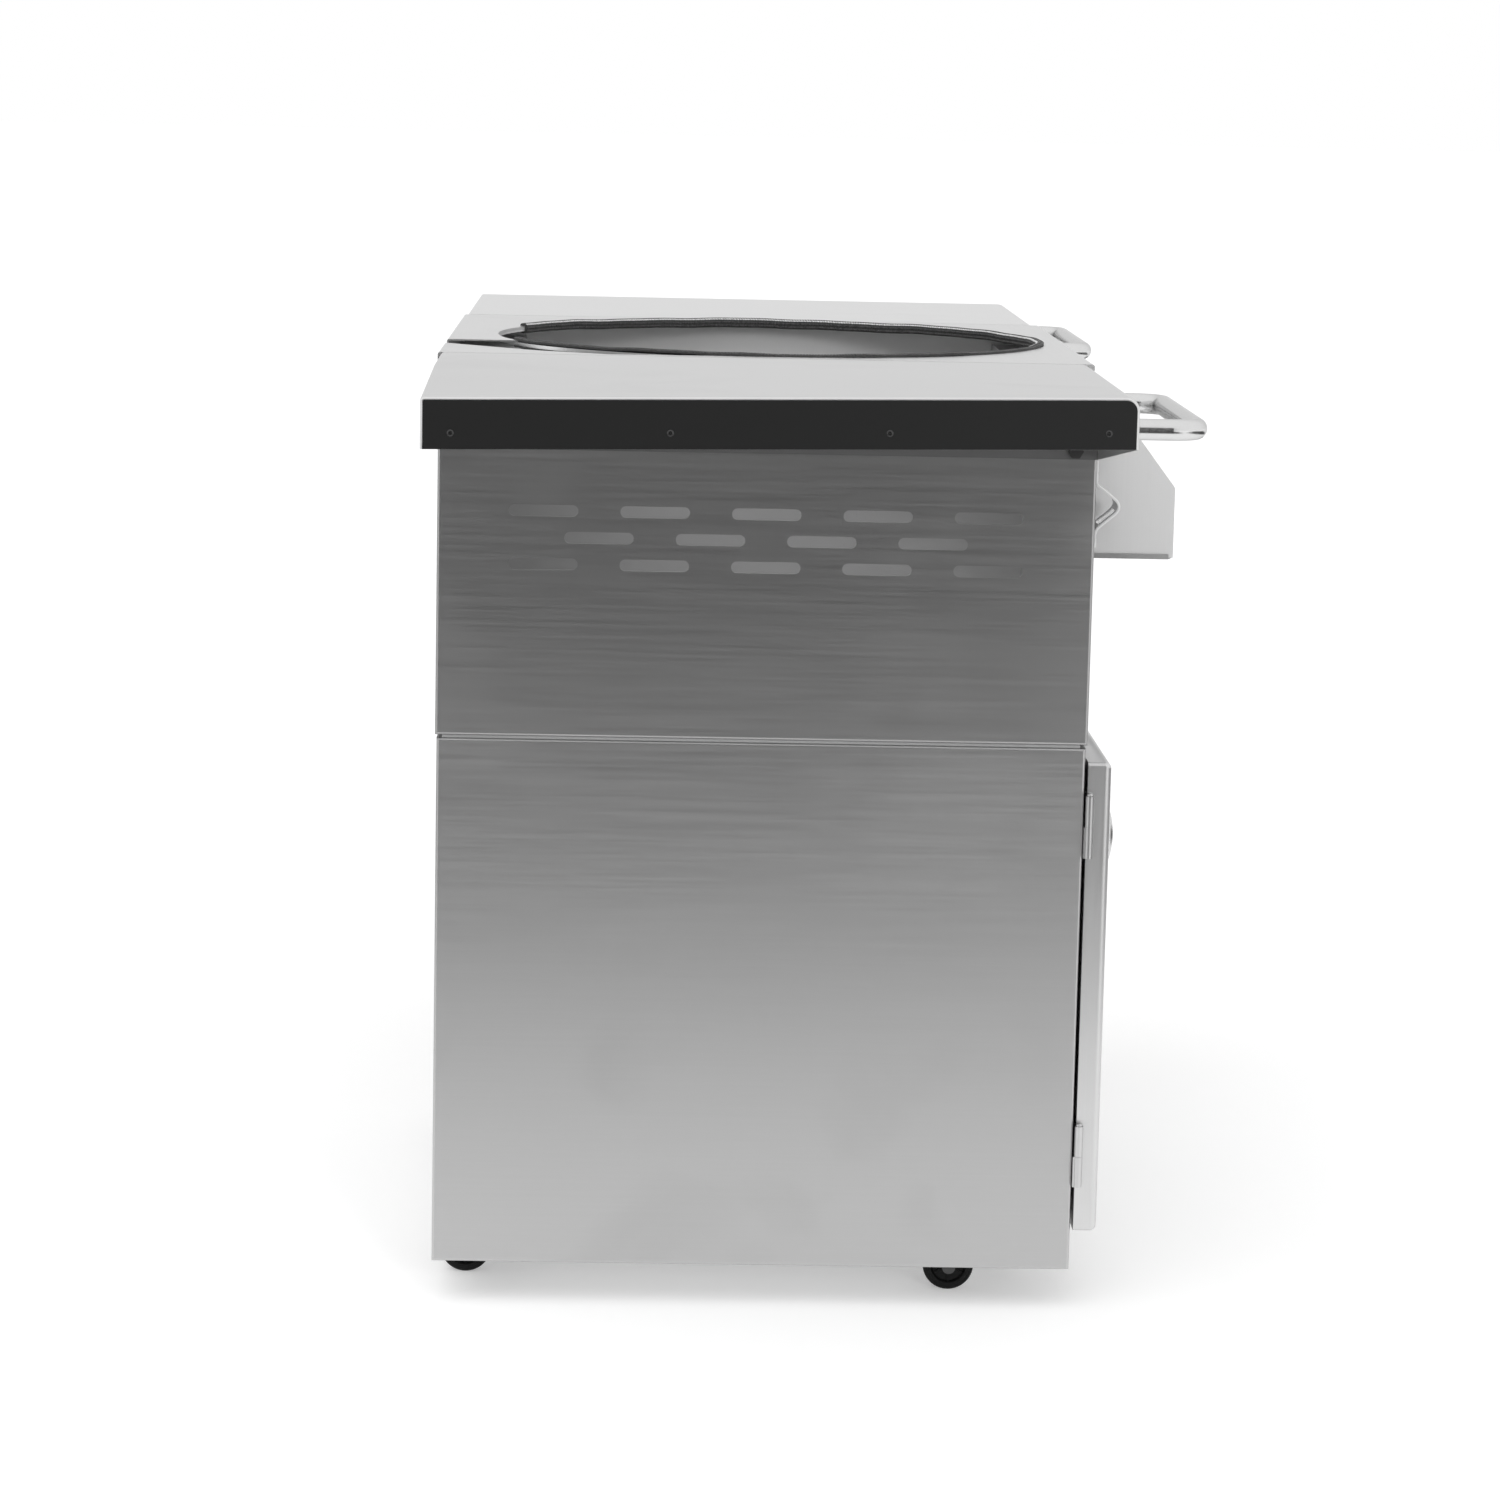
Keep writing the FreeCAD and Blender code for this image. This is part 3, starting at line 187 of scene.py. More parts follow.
# Black flags: cloth that the studio hangs and lays out of view to give brushed steel its shading.
# They show only in reflections, and cast no shadow.
flag_distance = 5.4
flag_half_width = 2.0
flag_height = 3.2
flag_shift = 0.6
cloth_near = 1.9
cloth_lift = 0.001

flag_material, tree, output = new_material("black_flag")
cloth = tree.nodes.new("ShaderNodeBsdfDiffuse")
cloth.inputs["Color"].default_value = (0.06, 0.06, 0.06, 1.0)
tree.links.new(cloth.outputs[0], output.inputs["Surface"])


def flag(name, low, high):
    """One flag that only metal and gloss can see."""
    plane = stage_plane(name, low, high, flag_material)
    plane.visible_camera = False
    plane.visible_diffuse = False
    plane.visible_shadow = False
    return plane


for side, name in ((-1, "left"), (1, "right")):
    flag(
        name + "_cloth", (side * flag_distance, flag_shift - flag_half_width, cloth_lift),
        (side * cloth_near, flag_shift + flag_half_width, cloth_lift))
for side, name in ((-1, "front"), (1, "rear")):
    flag(
        name + "_cloth", (-flag_half_width, side * flag_distance, cloth_lift),
        (flag_half_width, side * cloth_near, cloth_lift))
flag(
    "upright_flag", (-flag_distance, flag_shift - flag_half_width, 0.0),
    (-flag_distance, flag_shift + flag_half_width, flag_height))


# Cabinet: folded stainless sheets about 1.5 mm thick with a brushed face, spot welded together.
# The grain is fine streaks in colour, gloss and height; handling leaves faint cloudy marks.
steel_grey = 0.64
side_grey = 0.555
steel_roughness = 0.34
steel_stretch = 0.5
side_stretch = 0.30
steel_edge = (0.70, 0.70, 0.70, 1.0)
steel_relief = 0.10
relief_depth = 0.0002
streaks_across = 900.0
streaks_along = 14.0
streak_depth = 0.05
streak_gloss = 0.10
band_share = 0.3
mark_scale = 5.0
mark_start = 0.54
mark_end = 0.72
mark_depth = 0.04


def grain_group():
    """Fine streaks and cloudy marks: shade to multiply, gloss change and height."""
    group = bpy.data.node_groups.new("brushed_grain", "ShaderNodeTree")
    face = group.interface
    face.new_socket("Vector", in_out="INPUT", socket_type="NodeSocketVector")
    face.new_socket("Roughness", in_out="INPUT", socket_type="NodeSocketFloat")
    face.new_socket("Shade", in_out="OUTPUT", socket_type="NodeSocketFloat")
    face.new_socket("Roughness", in_out="OUTPUT", socket_type="NodeSocketFloat")
    face.new_socket("Height", in_out="OUTPUT", socket_type="NodeSocketFloat")
    start = group.nodes.new("NodeGroupInput")
    end = group.nodes.new("NodeGroupOutput")

    fine = group.nodes.new("ShaderNodeTexNoise")
    fine.inputs["Scale"].default_value = 1.0
    fine.inputs["Detail"].default_value = 3.0
    fine.inputs["Roughness"].default_value = 0.65
    group.links.new(start.outputs["Vector"], fine.inputs["Vector"])

    band_place = group.nodes.new("ShaderNodeVectorMath")
    band_place.operation = "SCALE"
    band_place.inputs["Scale"].default_value = band_share
    group.links.new(start.outputs["Vector"], band_place.inputs[0])
    bands = group.nodes.new("ShaderNodeTexNoise")
    bands.inputs["Scale"].default_value = 1.0
    bands.inputs["Detail"].default_value = 2.0
    group.links.new(band_place.outputs[0], bands.inputs["Vector"])

    place = group.nodes.new("ShaderNodeTexCoord")
    cloud = group.nodes.new("ShaderNodeTexNoise")
    cloud.inputs["Scale"].default_value = mark_scale
    cloud.inputs["Detail"].default_value = 4.0
    cloud.inputs["Distortion"].default_value = 0.4
    group.links.new(place.outputs["Object"], cloud.inputs["Vector"])

    streaks = group.nodes.new("ShaderNodeMath")
    streaks.operation = "ADD"
    group.links.new(fine.outputs["Fac"], streaks.inputs[0])
    group.links.new(bands.outputs["Fac"], streaks.inputs[1])
    centred = group.nodes.new("ShaderNodeMath")
    centred.operation = "SUBTRACT"
    centred.inputs[1].default_value = 1.0
    group.links.new(streaks.outputs[0], centred.inputs[0])

    marks = group.nodes.new("ShaderNodeMapRange")
    marks.inputs["From Min"].default_value = mark_start
    marks.inputs["From Max"].default_value = mark_end
    marks.inputs["To Min"].default_value = 0.0
    marks.inputs["To Max"].default_value = mark_depth
    group.links.new(cloud.outputs["Fac"], marks.inputs["Value"])

    shade = group.nodes.new("ShaderNodeMath")
    shade.operation = "MULTIPLY_ADD"
    group.links.new(centred.outputs[0], shade.inputs[0])
    shade.inputs[1].default_value = streak_depth
    shade.inputs[2].default_value = 1.0
    clouded = group.nodes.new("ShaderNodeMath")
    clouded.operation = "SUBTRACT"
    group.links.new(shade.outputs[0], clouded.inputs[0])
    group.links.new(marks.outputs["Result"], clouded.inputs[1])
    group.links.new(clouded.outputs[0], end.inputs["Shade"])

    gloss = group.nodes.new("ShaderNodeMath")
    gloss.operation = "MULTIPLY_ADD"
    gloss.inputs[1].default_value = streak_gloss
    group.links.new(centred.outputs[0], gloss.inputs[0])
    group.links.new(marks.outputs["Result"], gloss.inputs[2])
    rough = group.nodes.new("ShaderNodeMath")
    rough.operation = "ADD"
    group.links.new(gloss.outputs[0], rough.inputs[0])
    group.links.new(start.outputs["Roughness"], rough.inputs[1])
    group.links.new(rough.outputs[0], end.inputs["Roughness"])
    group.links.new(fine.outputs["Fac"], end.inputs["Height"])
    return group


brushed_grain = grain_group()


def mill_side_group():
    """A mask of 1 on the faces that look towards a sheet box's middle, from inside it."""
    group = bpy.data.node_groups.new("mill_side", "ShaderNodeTree")
    face = group.interface
    face.new_socket("Middle", in_out="INPUT", socket_type="NodeSocketVector")
    face.new_socket("Mask", in_out="OUTPUT", socket_type="NodeSocketFloat")
    start = group.nodes.new("NodeGroupInput")
    end = group.nodes.new("NodeGroupOutput")
    place = group.nodes.new("ShaderNodeTexCoord")
    outwards = group.nodes.new("ShaderNodeVectorMath")
    outwards.operation = "SUBTRACT"
    group.links.new(place.outputs["Object"], outwards.inputs[0])
    group.links.new(start.outputs["Middle"], outwards.inputs[1])
    face_normal = group.nodes.new("ShaderNodeNewGeometry")
    facing = group.nodes.new("ShaderNodeVectorMath")
    facing.operation = "DOT_PRODUCT"
    group.links.new(face_normal.outputs["True Normal"], facing.inputs[0])
    group.links.new(outwards.outputs[0], facing.inputs[1])
    inside = group.nodes.new("ShaderNodeMath")
    inside.operation = "LESS_THAN"
    inside.inputs[1].default_value = 0.0
    group.links.new(facing.outputs["Value"], inside.inputs[0])
    group.links.new(inside.outputs[0], end.inputs["Mask"])
    return group


mill_side = mill_side_group()


def mixed(tree, kind, share, first, second):
    """A value or colour that goes from the first to the second with a share of 0 to 1."""
    blend = tree.nodes.new("ShaderNodeMix")
    blend.data_type = kind
    start, result = {"FLOAT": (2, 0), "VECTOR": (4, 1)}[kind]
    tree.links.new(share, blend.inputs[0])
    for socket, value in zip(blend.inputs[start:start + 2], (first, second)):
        if isinstance(value, bpy.types.NodeSocket):
            tree.links.new(value, socket)
        else:
            socket.default_value = value
    return blend.outputs[result]


def brushed_material(
        name, grey, roughness, streaks, lay_axis=None, lay_turn=0.0, metal_share=1.0,
        stretch=steel_stretch, middle=None, mill=None):
    """Metal brushed along one direction, with its streaks per metre on X, Y and Z.

    The lay draws reflections out across the grain. With a middle, the inner faces of a sheet
    box round it keep their mill finish, given by its grey, roughness and share of metal.
    """
    material, tree, output = new_material(name)
    place = tree.nodes.new("ShaderNodeTexCoord")
    mapping = tree.nodes.new("ShaderNodeMapping")
    mapping.inputs["Scale"].default_value = streaks
    tree.links.new(place.outputs["Object"], mapping.inputs["Vector"])
    grain = tree.nodes.new("ShaderNodeGroup")
    grain.node_tree = brushed_grain
    grain.inputs["Roughness"].default_value = roughness
    tree.links.new(mapping.outputs[0], grain.inputs["Vector"])
    tint = tree.nodes.new("ShaderNodeVectorMath")
    tint.operation = "SCALE"
    tint.inputs[0].default_value = (grey, grey, grey)
    tree.links.new(grain.outputs["Shade"], tint.inputs["Scale"])
    metal = tree.nodes.new("ShaderNodeBsdfPrincipled")
    metal.inputs["Metallic"].default_value = metal_share
    metal.inputs["Specular Tint"].default_value = steel_edge
    finish = tint.outputs[0]
    gloss = grain.outputs["Roughness"]
    if middle:
        mill_grey, mill_roughness, mill_share = mill
        mask = tree.nodes.new("ShaderNodeGroup")
        mask.node_tree = mill_side
        mask.inputs["Middle"].default_value = middle
        inside = mask.outputs["Mask"]
        finish = mixed(tree, "VECTOR", inside, finish, (mill_grey, mill_grey, mill_grey))
        gloss = mixed(tree, "FLOAT", inside, gloss, mill_roughness)
        share = mixed(tree, "FLOAT", inside, metal_share, mill_share)
        tree.links.new(share, metal.inputs["Metallic"])
    tree.links.new(finish, metal.inputs["Base Color"])
    tree.links.new(gloss, metal.inputs["Roughness"])
    if lay_axis:
        metal.inputs["Anisotropic"].default_value = stretch
        metal.inputs["Anisotropic Rotation"].default_value = lay_turn
        lay = tree.nodes.new("ShaderNodeTangent")
        lay.direction_type = "RADIAL"
        lay.axis = lay_axis
        tree.links.new(lay.outputs[0], metal.inputs["Tangent"])
    relief = tree.nodes.new("ShaderNodeBump")
    relief.inputs["Strength"].default_value = steel_relief
    relief.inputs["Distance"].default_value = relief_depth
    tree.links.new(grain.outputs["Height"], relief.inputs["Height"])
    tree.links.new(relief.outputs["Normal"], metal.inputs["Normal"])
    tree.links.new(metal.outputs[0], output.inputs["Surface"])
    return material


def finish_with(material, *names):
    """Gives CAD nodes a material."""
    for name in names:
        for slot in nodes[name].material_slots:
            slot.material = material


along_y = (streaks_across, streaks_along, streaks_across)
along_x = (streaks_along, streaks_across, streaks_across)
upright = (streaks_across, streaks_across, streaks_along)
side_steel = brushed_material(
    "side_sheet_brushed_level", side_grey, steel_roughness, along_y, "Z", 0.25,
    stretch=side_stretch)
wide_steel = brushed_material(
    "wide_sheet_brushed_level", steel_grey, steel_roughness, along_x, "Z", 0.25)
finish_with(side_steel, "cabinet_left_side", "cabinet_right_side")
finish_with(wide_steel, "cabinet_back", "base_pan", "door_frame", "deck_stiffeners")


# Grill housing: four folded sheets on the deck, the end ones with rows of punched vent slots.
# Two channels cross it at the top; the hot side of every sheet keeps its dull mill finish.
# The housing's outer faces get a darker grey than the cabinet's steel: painted shade, for the shade
# under the shelves.
housing_painted_shade_grey = 0.46
housing_stretch = 0.75
side_mill = (0.58, 0.36, 0.6)
wide_mill = (0.60, 0.50, 0.3)


def box_middle(*names):
    """The middle of the box round one or more nodes."""
    corners = [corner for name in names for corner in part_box(name)]
    return Vector([(min(values) + max(values)) / 2 for values in zip(*corners)])


housing_middle = box_middle("housing_left_side", "housing_right_side")
housing_side_painted_shade_steel = brushed_material(
    "housing_side_brushed_level_painted_shade", housing_painted_shade_grey, steel_roughness, along_y, "Z", 0.25,
    stretch=housing_stretch, middle=housing_middle, mill=side_mill)
housing_wide_painted_shade_steel = brushed_material(
    "housing_sheet_brushed_level_painted_shade", housing_painted_shade_grey, steel_roughness, along_x, "Z", 0.25,
    middle=housing_middle, mill=wide_mill)
mill_steel = brushed_material(
    "mill_finish", wide_mill[0], wide_mill[1], along_x, metal_share=wide_mill[2])
finish_with(housing_side_painted_shade_steel, "housing_left_side", "housing_right_side")
finish_with(housing_wide_painted_shade_steel, "housing_back", "housing_front")
finish_with(mill_steel, "kamado_deck", "top_rails")


# Middle panel: one folded sheet brushed along the table, with the grill opening cut by laser.
# A hoop of flat bar is tacked under its edge and keeps the opening round across the relief cut.
# Its top grey is much lighter than the body's steel: painted light on the upper face.
top_painted_light_grey = 0.87
top_mill = (0.76, 0.45, 0.5)
top_painted_light_steel = brushed_material(
    "top_sheet_brushed_along_painted_light", top_painted_light_grey, steel_roughness, along_x, "Y", 0.25,
    middle=box_middle("middle_top_panel"), mill=top_mill)
finish_with(top_painted_light_steel, "middle_top_panel", "opening_ring")


# Side shelves: sheets folded down on all four edges and bolted to the housing through a plate.
# The left one has settled: its rear outer corner hangs a little low, as it does in use.
shelf_settle = 0.0110
shelf_draw = 0.0012
settle_steps = 10
shelf_low, shelf_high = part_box("left_shelf_pan")
plate_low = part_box("left_shelf_mounting_plate")[0]

# The shelf tops get lighter greys than the body's steel, as painted light; the left one's is darker
# than the right's, as painted shade.
left_shelf_painted_shade_steel = brushed_material(
    "left_shelf_brushed_painted_shade", 0.76, steel_roughness, along_y, "X", 0.25)
right_shelf_painted_light_steel = brushed_material(
    "right_shelf_brushed_painted_light", 0.84, steel_roughness, along_y, "X", 0.25)
finish_with(right_shelf_painted_light_steel, "right_shelf_pan")
# The mounting plates get a dark grey: painted shade, for where they hang under the shelves.
plate_painted_shade_steel = brushed_material("mounting_plate_painted_shade", 0.22, 0.50, along_y)
finish_with(plate_painted_shade_steel, "left_shelf_mounting_plate", "right_shelf_mounting_plate")


def settled(place):
    """Where a point of the left shelf has come to rest."""
    outwards = (plate_low[0] - place[0]) / (plate_low[0] - shelf_low[0])
    backwards = (place[1] - shelf_low[1]) / (shelf_high[1] - shelf_low[1])
    share = min(max(outwards, 0.0), 1.0) * min(max(backwards, 0.0), 1.0)
    return place - Vector((0, shelf_draw, shelf_settle)) * share


def add_piece(name, shape, material, body, crease=30.0):
    """Turns a finished bmesh into an object that rides on a body."""
    mesh = bpy.data.meshes.new(name)
    shape.to_mesh(mesh)
    shape.free()
    old_normals = mesh.attributes.get("custom_normal")
    if old_normals:
        mesh.attributes.remove(old_normals)
    mesh.materials.append(material)
    mesh.shade_smooth()
    mesh.set_sharp_from_angle(angle=math.radians(crease))
    piece = bpy.data.objects.new(name, mesh)
    scene.collection.objects.link(piece)
    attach(piece, body)
    return piece


def settled_copy(name, node, material, steps):
    """A node's mesh, merged and cut into strips, brought down where the shelf has settled."""
    shape = bmesh.new()
    shape.from_mesh(nodes[node].data)
    bmesh.ops.remove_doubles(shape, verts=shape.verts, dist=1e-6)
    for step in range(1, steps):
        share = step / steps
        x_cut = shelf_low[0] + share * (plate_low[0] - shelf_low[0])
        y_cut = shelf_low[1] + share * (shelf_high[1] - shelf_low[1])
        for point, normal in (((x_cut, 0, 0), (1, 0, 0)), ((0, y_cut, 0), (0, 1, 0))):
            geometry = shape.verts[:] + shape.edges[:] + shape.faces[:]
            bmesh.ops.bisect_plane(shape, geom=geometry, dist=1e-6, plane_co=point, plane_no=normal)
    for vertex in shape.verts:
        vertex.co = settled(vertex.co)
    piece = add_piece(name, shape, material, "table")
    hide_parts(node)
    return piece


settled_copy(
    "left_shelf_top", "left_shelf_pan", left_shelf_painted_shade_steel, settle_steps)


# End caps: steel plates painted satin black, held in the shelf ends by blind rivets.
# The rivets are painted with them, with a small dimple left in each head.
paint_colour = (0.010, 0.010, 0.010, 1.0)
rivet_radius = 0.0032
rivet_rise = 0.0010
rivet_dimple = 0.0011
rivet_shank = 0.0020
rivet_reach = 0.0045
rivet_spacing = 0.190
rivet_middle = box_middle("end_cap_rivets")
shelf_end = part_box("right_shelf_end_cap")[1][0]

cap_material, tree, output = new_material("black_paint")
place = tree.nodes.new("ShaderNodeTexCoord")
speck = tree.nodes.new("ShaderNodeTexNoise")
speck.inputs["Scale"].default_value = 900.0
speck.inputs["Detail"].default_value = 2.0
tree.links.new(place.outputs["Object"], speck.inputs["Vector"])
paint = tree.nodes.new("ShaderNodeBsdfPrincipled")
paint.inputs["Base Color"].default_value = paint_colour
paint.inputs["Roughness"].default_value = 0.42
skin = tree.nodes.new("ShaderNodeBump")
skin.inputs["Strength"].default_value = 0.12
skin.inputs["Distance"].default_value = 0.0003
tree.links.new(speck.outputs["Fac"], skin.inputs["Height"])
tree.links.new(skin.outputs["Normal"], paint.inputs["Normal"])
tree.links.new(paint.outputs[0], output.inputs["Surface"])
finish_with(cap_material, "right_shelf_end_cap")
settled_copy("left_end_plate", "left_shelf_end_cap", cap_material, 1)

turned = (700.0, 700.0, 700.0)
rivet_material = brushed_material("painted_rivet", 0.05, 0.20, turned, metal_share=0.5)


def ring_profile(shape, points, steps, axis, centre, angle=math.tau):
    """A closed outline of points turned about an axis; a full turn closes on itself."""
    corners = [shape.verts.new(point) for point in points]
    edges = []
    for first, second in zip(corners, corners[1:] + corners[:1]):
        edges.append(shape.edges.new((first, second)))
    bmesh.ops.spin(
        shape, geom=corners + edges, cent=centre, axis=axis, angle=angle, steps=steps,
        use_merge=abs(angle - math.tau) < 1e-6, use_duplicate=False)


def rivets():
    """Eight blind rivets with a dimple in their low domed heads."""
    shape = bmesh.new()
    for side in (-1, 1):
        for index in range(4):
            y_rivet = rivet_middle.y + (index - 1.5) * rivet_spacing
            centre = Vector((side * shelf_end, y_rivet, rivet_middle.z))
            if side < 0:
                centre = settled(centre)
            outline = (
                (rivet_dimple * 0.3, -rivet_rise * 0.2), (rivet_dimple, -rivet_rise * 0.3),
                (rivet_dimple * 1.3, rivet_rise), (rivet_radius * 0.7, rivet_rise * 0.9),
                (rivet_radius * 0.95, rivet_rise * 0.45), (rivet_radius, 0.0),
                (rivet_shank, 0.0), (rivet_shank, -rivet_reach), (rivet_dimple * 0.3, -rivet_reach))
            points = [centre + Vector((side * out, reach, 0)) for reach, out in outline]
            ring_profile(shape, points, 24, (1, 0, 0), centre)
    bmesh.ops.recalc_face_normals(shape, faces=shape.faces)
    piece = add_piece("end_plate_rivets", shape, rivet_material, "table")
    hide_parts("end_cap_rivets")


rivets()


# Fascia: one sheet folded round the front of the housing, closed by two end plates.
# The plates were cut across the sheet, so their grain stands upright; their grey, paler than the
# housing's beside them, is painted light.
cheek_painted_light_steel = brushed_material(
    "cheek_brushed_upright_painted_light", 0.68, 0.55, upright, "Z", 0.0, metal_share=0.25)
fascia_steel = brushed_material(
    "fascia_brushed_along", steel_grey, steel_roughness, along_x, "X", 0.0)
finish_with(cheek_painted_light_steel, "fascia_left_cheek", "fascia_right_cheek")
finish_with(fascia_steel, "fascia_panel")


# Doors: pans with a rounded rim, brushed upright, closed at the back by a plain liner.
# Each hangs on two lift-off hinges with turned pins and is held shut by a magnet block.
door_steel = brushed_material(
    "door_brushed_upright", 0.70, steel_roughness, upright, "Z", 0.0)
finish_with(
    door_steel, "left_door_skin", "right_door_skin", "left_door_liner", "right_door_liner")
hinge_steel = brushed_material("hinge_satin", 0.62, 0.30, upright)
finish_with(
    hinge_steel, "hinge_pins", "hinge_frame_leaves", "left_door_hinge_leaves",
    "right_door_hinge_leaves")


# Small steel parts: bolts, screws, plugs, strikers and axles, turned or headed from plain bar.
small_steel = brushed_material("plain_steel", 0.55, 0.36, turned)
# The shelf bolts and caster axles get a plain dark grey.
dark_steel = brushed_material("dark_grey_steel", 0.10, 0.40, turned)
finish_with(
    small_steel, "towel_handle_fixings", "bottle_opener_screws",
    "left_door_handle_screws", "right_door_handle_screws", "caster_bolts", "left_door_striker",
    "right_door_striker")
finish_with(
    dark_steel, "shelf_bolts", "front_left_caster_axle", "front_right_caster_axle",
    "rear_left_caster_axle", "rear_right_caster_axle")


# Handles and opener: stainless tube, rod and strap, polished after bending.
buffed = (300.0, 300.0, 300.0)
polished_steel = brushed_material("polished_steel", 0.70, 0.21, buffed)
finish_with(
    polished_steel, "left_towel_handle", "right_towel_handle", "left_door_handle",
    "right_door_handle")


# Bottle opener: a strap of stainless steel bent to a nose, with a mouth punched in its lower arm.
# It is cut from sheet with pale satin edges and screwed to the housing's front.
# Each corner of its path gives how far out and how high it is, and the radius of its bend.
opener_steel = brushed_material("opener_satin", 0.88, 0.38, along_x, metal_share=0.6)
opener_sheet = 0.0025
opener_rim = 0.0003
opener_low, opener_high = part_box("bottle_opener")
opener_middle_x = (opener_low[0] + opener_high[0]) / 2
opener_half_width = (opener_high[0] - opener_low[0]) / 2
opener_wall = opener_high[1]
mouth_half_width = 0.013
mouth_top = 0.7805
mouth_bottom = 0.7670
opener_path = (
    (0.0, opener_high[2], 0.0), (0.0, 0.8050, 0.007), (-0.0262, 0.7850, 0.009),
    (0.0, 0.7630, 0.012), (0.0, opener_low[2], 0.0))
bend_steps = 6


def rounded_path(corners):
    """Points along a bent strap: each corner's radius becomes a row of points."""
    points = []
    for index, (out, up, radius) in enumerate(corners):
        corner = Vector((out, up))
        if not radius:
            points.append(corner)
            continue
        before = (Vector(corners[index - 1][:2]) - corner).normalized()
        after = (Vector(corners[index + 1][:2]) - corner).normalized()
        half = before.angle(after) / 2
        start = corner + before * radius / math.tan(half)
        finish = corner + after * radius / math.tan(half)
        for step in range(bend_steps + 1):
            share = step / bend_steps
            first = start.lerp(corner, share)
            second = corner.lerp(finish, share)
            points.append(first.lerp(second, share))
    return points


def opener_strap():
    """A strip of three lanes along the bent path, opened at the mouth and given its thickness."""
    path = rounded_path(opener_path)
    shape = bmesh.new()
    lanes = (-opener_half_width, -mouth_half_width, mouth_half_width, opener_half_width)
    bmesh.ops.create_grid(shape, x_segments=len(lanes) - 1, y_segments=len(path) - 1, size=0.5)
    for vertex in shape.verts:
        lane = lanes[round((vertex.co.x + 0.5) * (len(lanes) - 1))]
        out, up = path[round((vertex.co.y + 0.5) * (len(path) - 1))]
        vertex.co = Vector((opener_middle_x + lane, opener_wall + out, up))
    for lip in (mouth_top, mouth_bottom):
        geometry = shape.verts[:] + shape.edges[:] + shape.faces[:]
        bmesh.ops.bisect_plane(
            shape, geom=geometry, dist=1e-6, plane_co=(0, 0, lip), plane_no=(0, 0, 1))
    mouth = []
    for face in shape.faces:
        middle = face.calc_center_median()
        in_lane = abs(middle.x - opener_middle_x) < mouth_half_width
        if in_lane and mouth_bottom < middle.z < mouth_top:
            mouth.append(face)
    bmesh.ops.delete(shape, geom=mouth, context="FACES")
    bmesh.ops.recalc_face_normals(shape, faces=shape.faces)
    if max(shape.faces, key=lambda face: face.calc_center_median().z).normal.y < 0:
        bmesh.ops.reverse_faces(shape, faces=shape.faces)
    bmesh.ops.solidify(shape, geom=shape.faces[:], thickness=opener_sheet)
    bmesh.ops.recalc_face_normals(shape, faces=shape.faces)
    rims = [edge for edge in shape.edges if edge.is_manifold and edge.calc_face_angle() > 1.0]
    bmesh.ops.bevel(
        shape, geom=rims, offset=opener_rim, segments=2, profile=0.5, affect="EDGES",
        material=-1)
    piece = add_piece("opener_strap", shape, opener_steel, "table")
    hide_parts("bottle_opener")


opener_strap()


# Opening trim: wire braid over a rope core, pressed as a channel over the edge of the sheet.
# It stops short on both sides of the grill's hinge at the rear, and it is not quite even.
trim_middle = Vector((0.0, box_middle("opening_ring").y, box_middle("opening_edge_trim").z))
trim_inner = 0.273
trim_grip = 0.276
trim_outer = 0.281
trim_half_height = 0.0050
grip_half_height = 0.0025
trim_gap_half = 0.112
trim_gap_angle = math.asin(trim_gap_half / 0.277)
core_steps = 240
stitch_doublings = 9
trim_stray = 0.0004
stitch_half = Vector((0.0006, 0.0018, 0.0012))
stitch_lean = math.radians(28)
dark_rows = (
    (0.2729, -0.0026, 0.0, 1), (0.2729, 0.0008, 0.0, -1), (0.2766, 0.0052, 85.0, -1),
    (0.2798, 0.0047, 120.0, 1))
# The one pale row runs along the inner top edge, where glints show from across the opening: partly
# wire, partly a painted glint.
glint_rows = ((0.2737, 0.0042, 50.0, 1),)


def plain_material(
        name, grey, roughness, metal_share, speck_scale, speck_low, speck_high, shine=0.5):
    """A plain finish whose shade changes in small specks."""
    material, tree, output = new_material(name)
    place = tree.nodes.new("ShaderNodeTexCoord")
    speck = tree.nodes.new("ShaderNodeTexNoise")
    speck.inputs["Scale"].default_value = speck_scale
    speck.inputs["Detail"].default_value = 2.0
    tree.links.new(place.outputs["Object"], speck.inputs["Vector"])
    level = tree.nodes.new("ShaderNodeMapRange")
    level.inputs["From Min"].default_value = 0.35
    level.inputs["From Max"].default_value = 0.65
    level.inputs["To Min"].default_value = speck_low
    level.inputs["To Max"].default_value = speck_high
    tree.links.new(speck.outputs["Fac"], level.inputs["Value"])
    tint = tree.nodes.new("ShaderNodeVectorMath")
    tint.operation = "SCALE"
    tint.inputs[0].default_value = (grey, grey, grey)
    tree.links.new(level.outputs["Result"], tint.inputs["Scale"])
    finish = tree.nodes.new("ShaderNodeBsdfPrincipled")
    finish.inputs["Metallic"].default_value = metal_share
    finish.inputs["Roughness"].default_value = roughness
    finish.inputs["Specular IOR Level"].default_value = shine
    tree.links.new(tint.outputs[0], finish.inputs["Base Color"])
    tree.links.new(finish.outputs[0], output.inputs["Surface"])
    return material


core_material = plain_material("rope_core", 0.03, 0.7, 0.0, 900.0, 0.6, 1.4)
braid_material = plain_material("smoked_braid", 0.055, 0.50, 0.3, 700.0, 0.3, 1.7)
# Pale wire for that row alone: a painted glint on the dark braid.
glint_wire_material = plain_material("painted_glint_wire", 0.62, 0.35, 0.8, 700.0, 0.7, 1.3)


def stray(shape):
    """Lets the trim wander a little up and down along its length."""
    for vertex in shape.verts:
        around = vertex.co - trim_middle
        angle = math.atan2(around.y, around.x)
        slow = math.sin(7 * angle + 1.0)
        quick = 0.6 * math.sin(17 * angle) + 0.4 * math.sin(31 * angle + 2.0)
        vertex.co.z += trim_stray * (slow + quick)


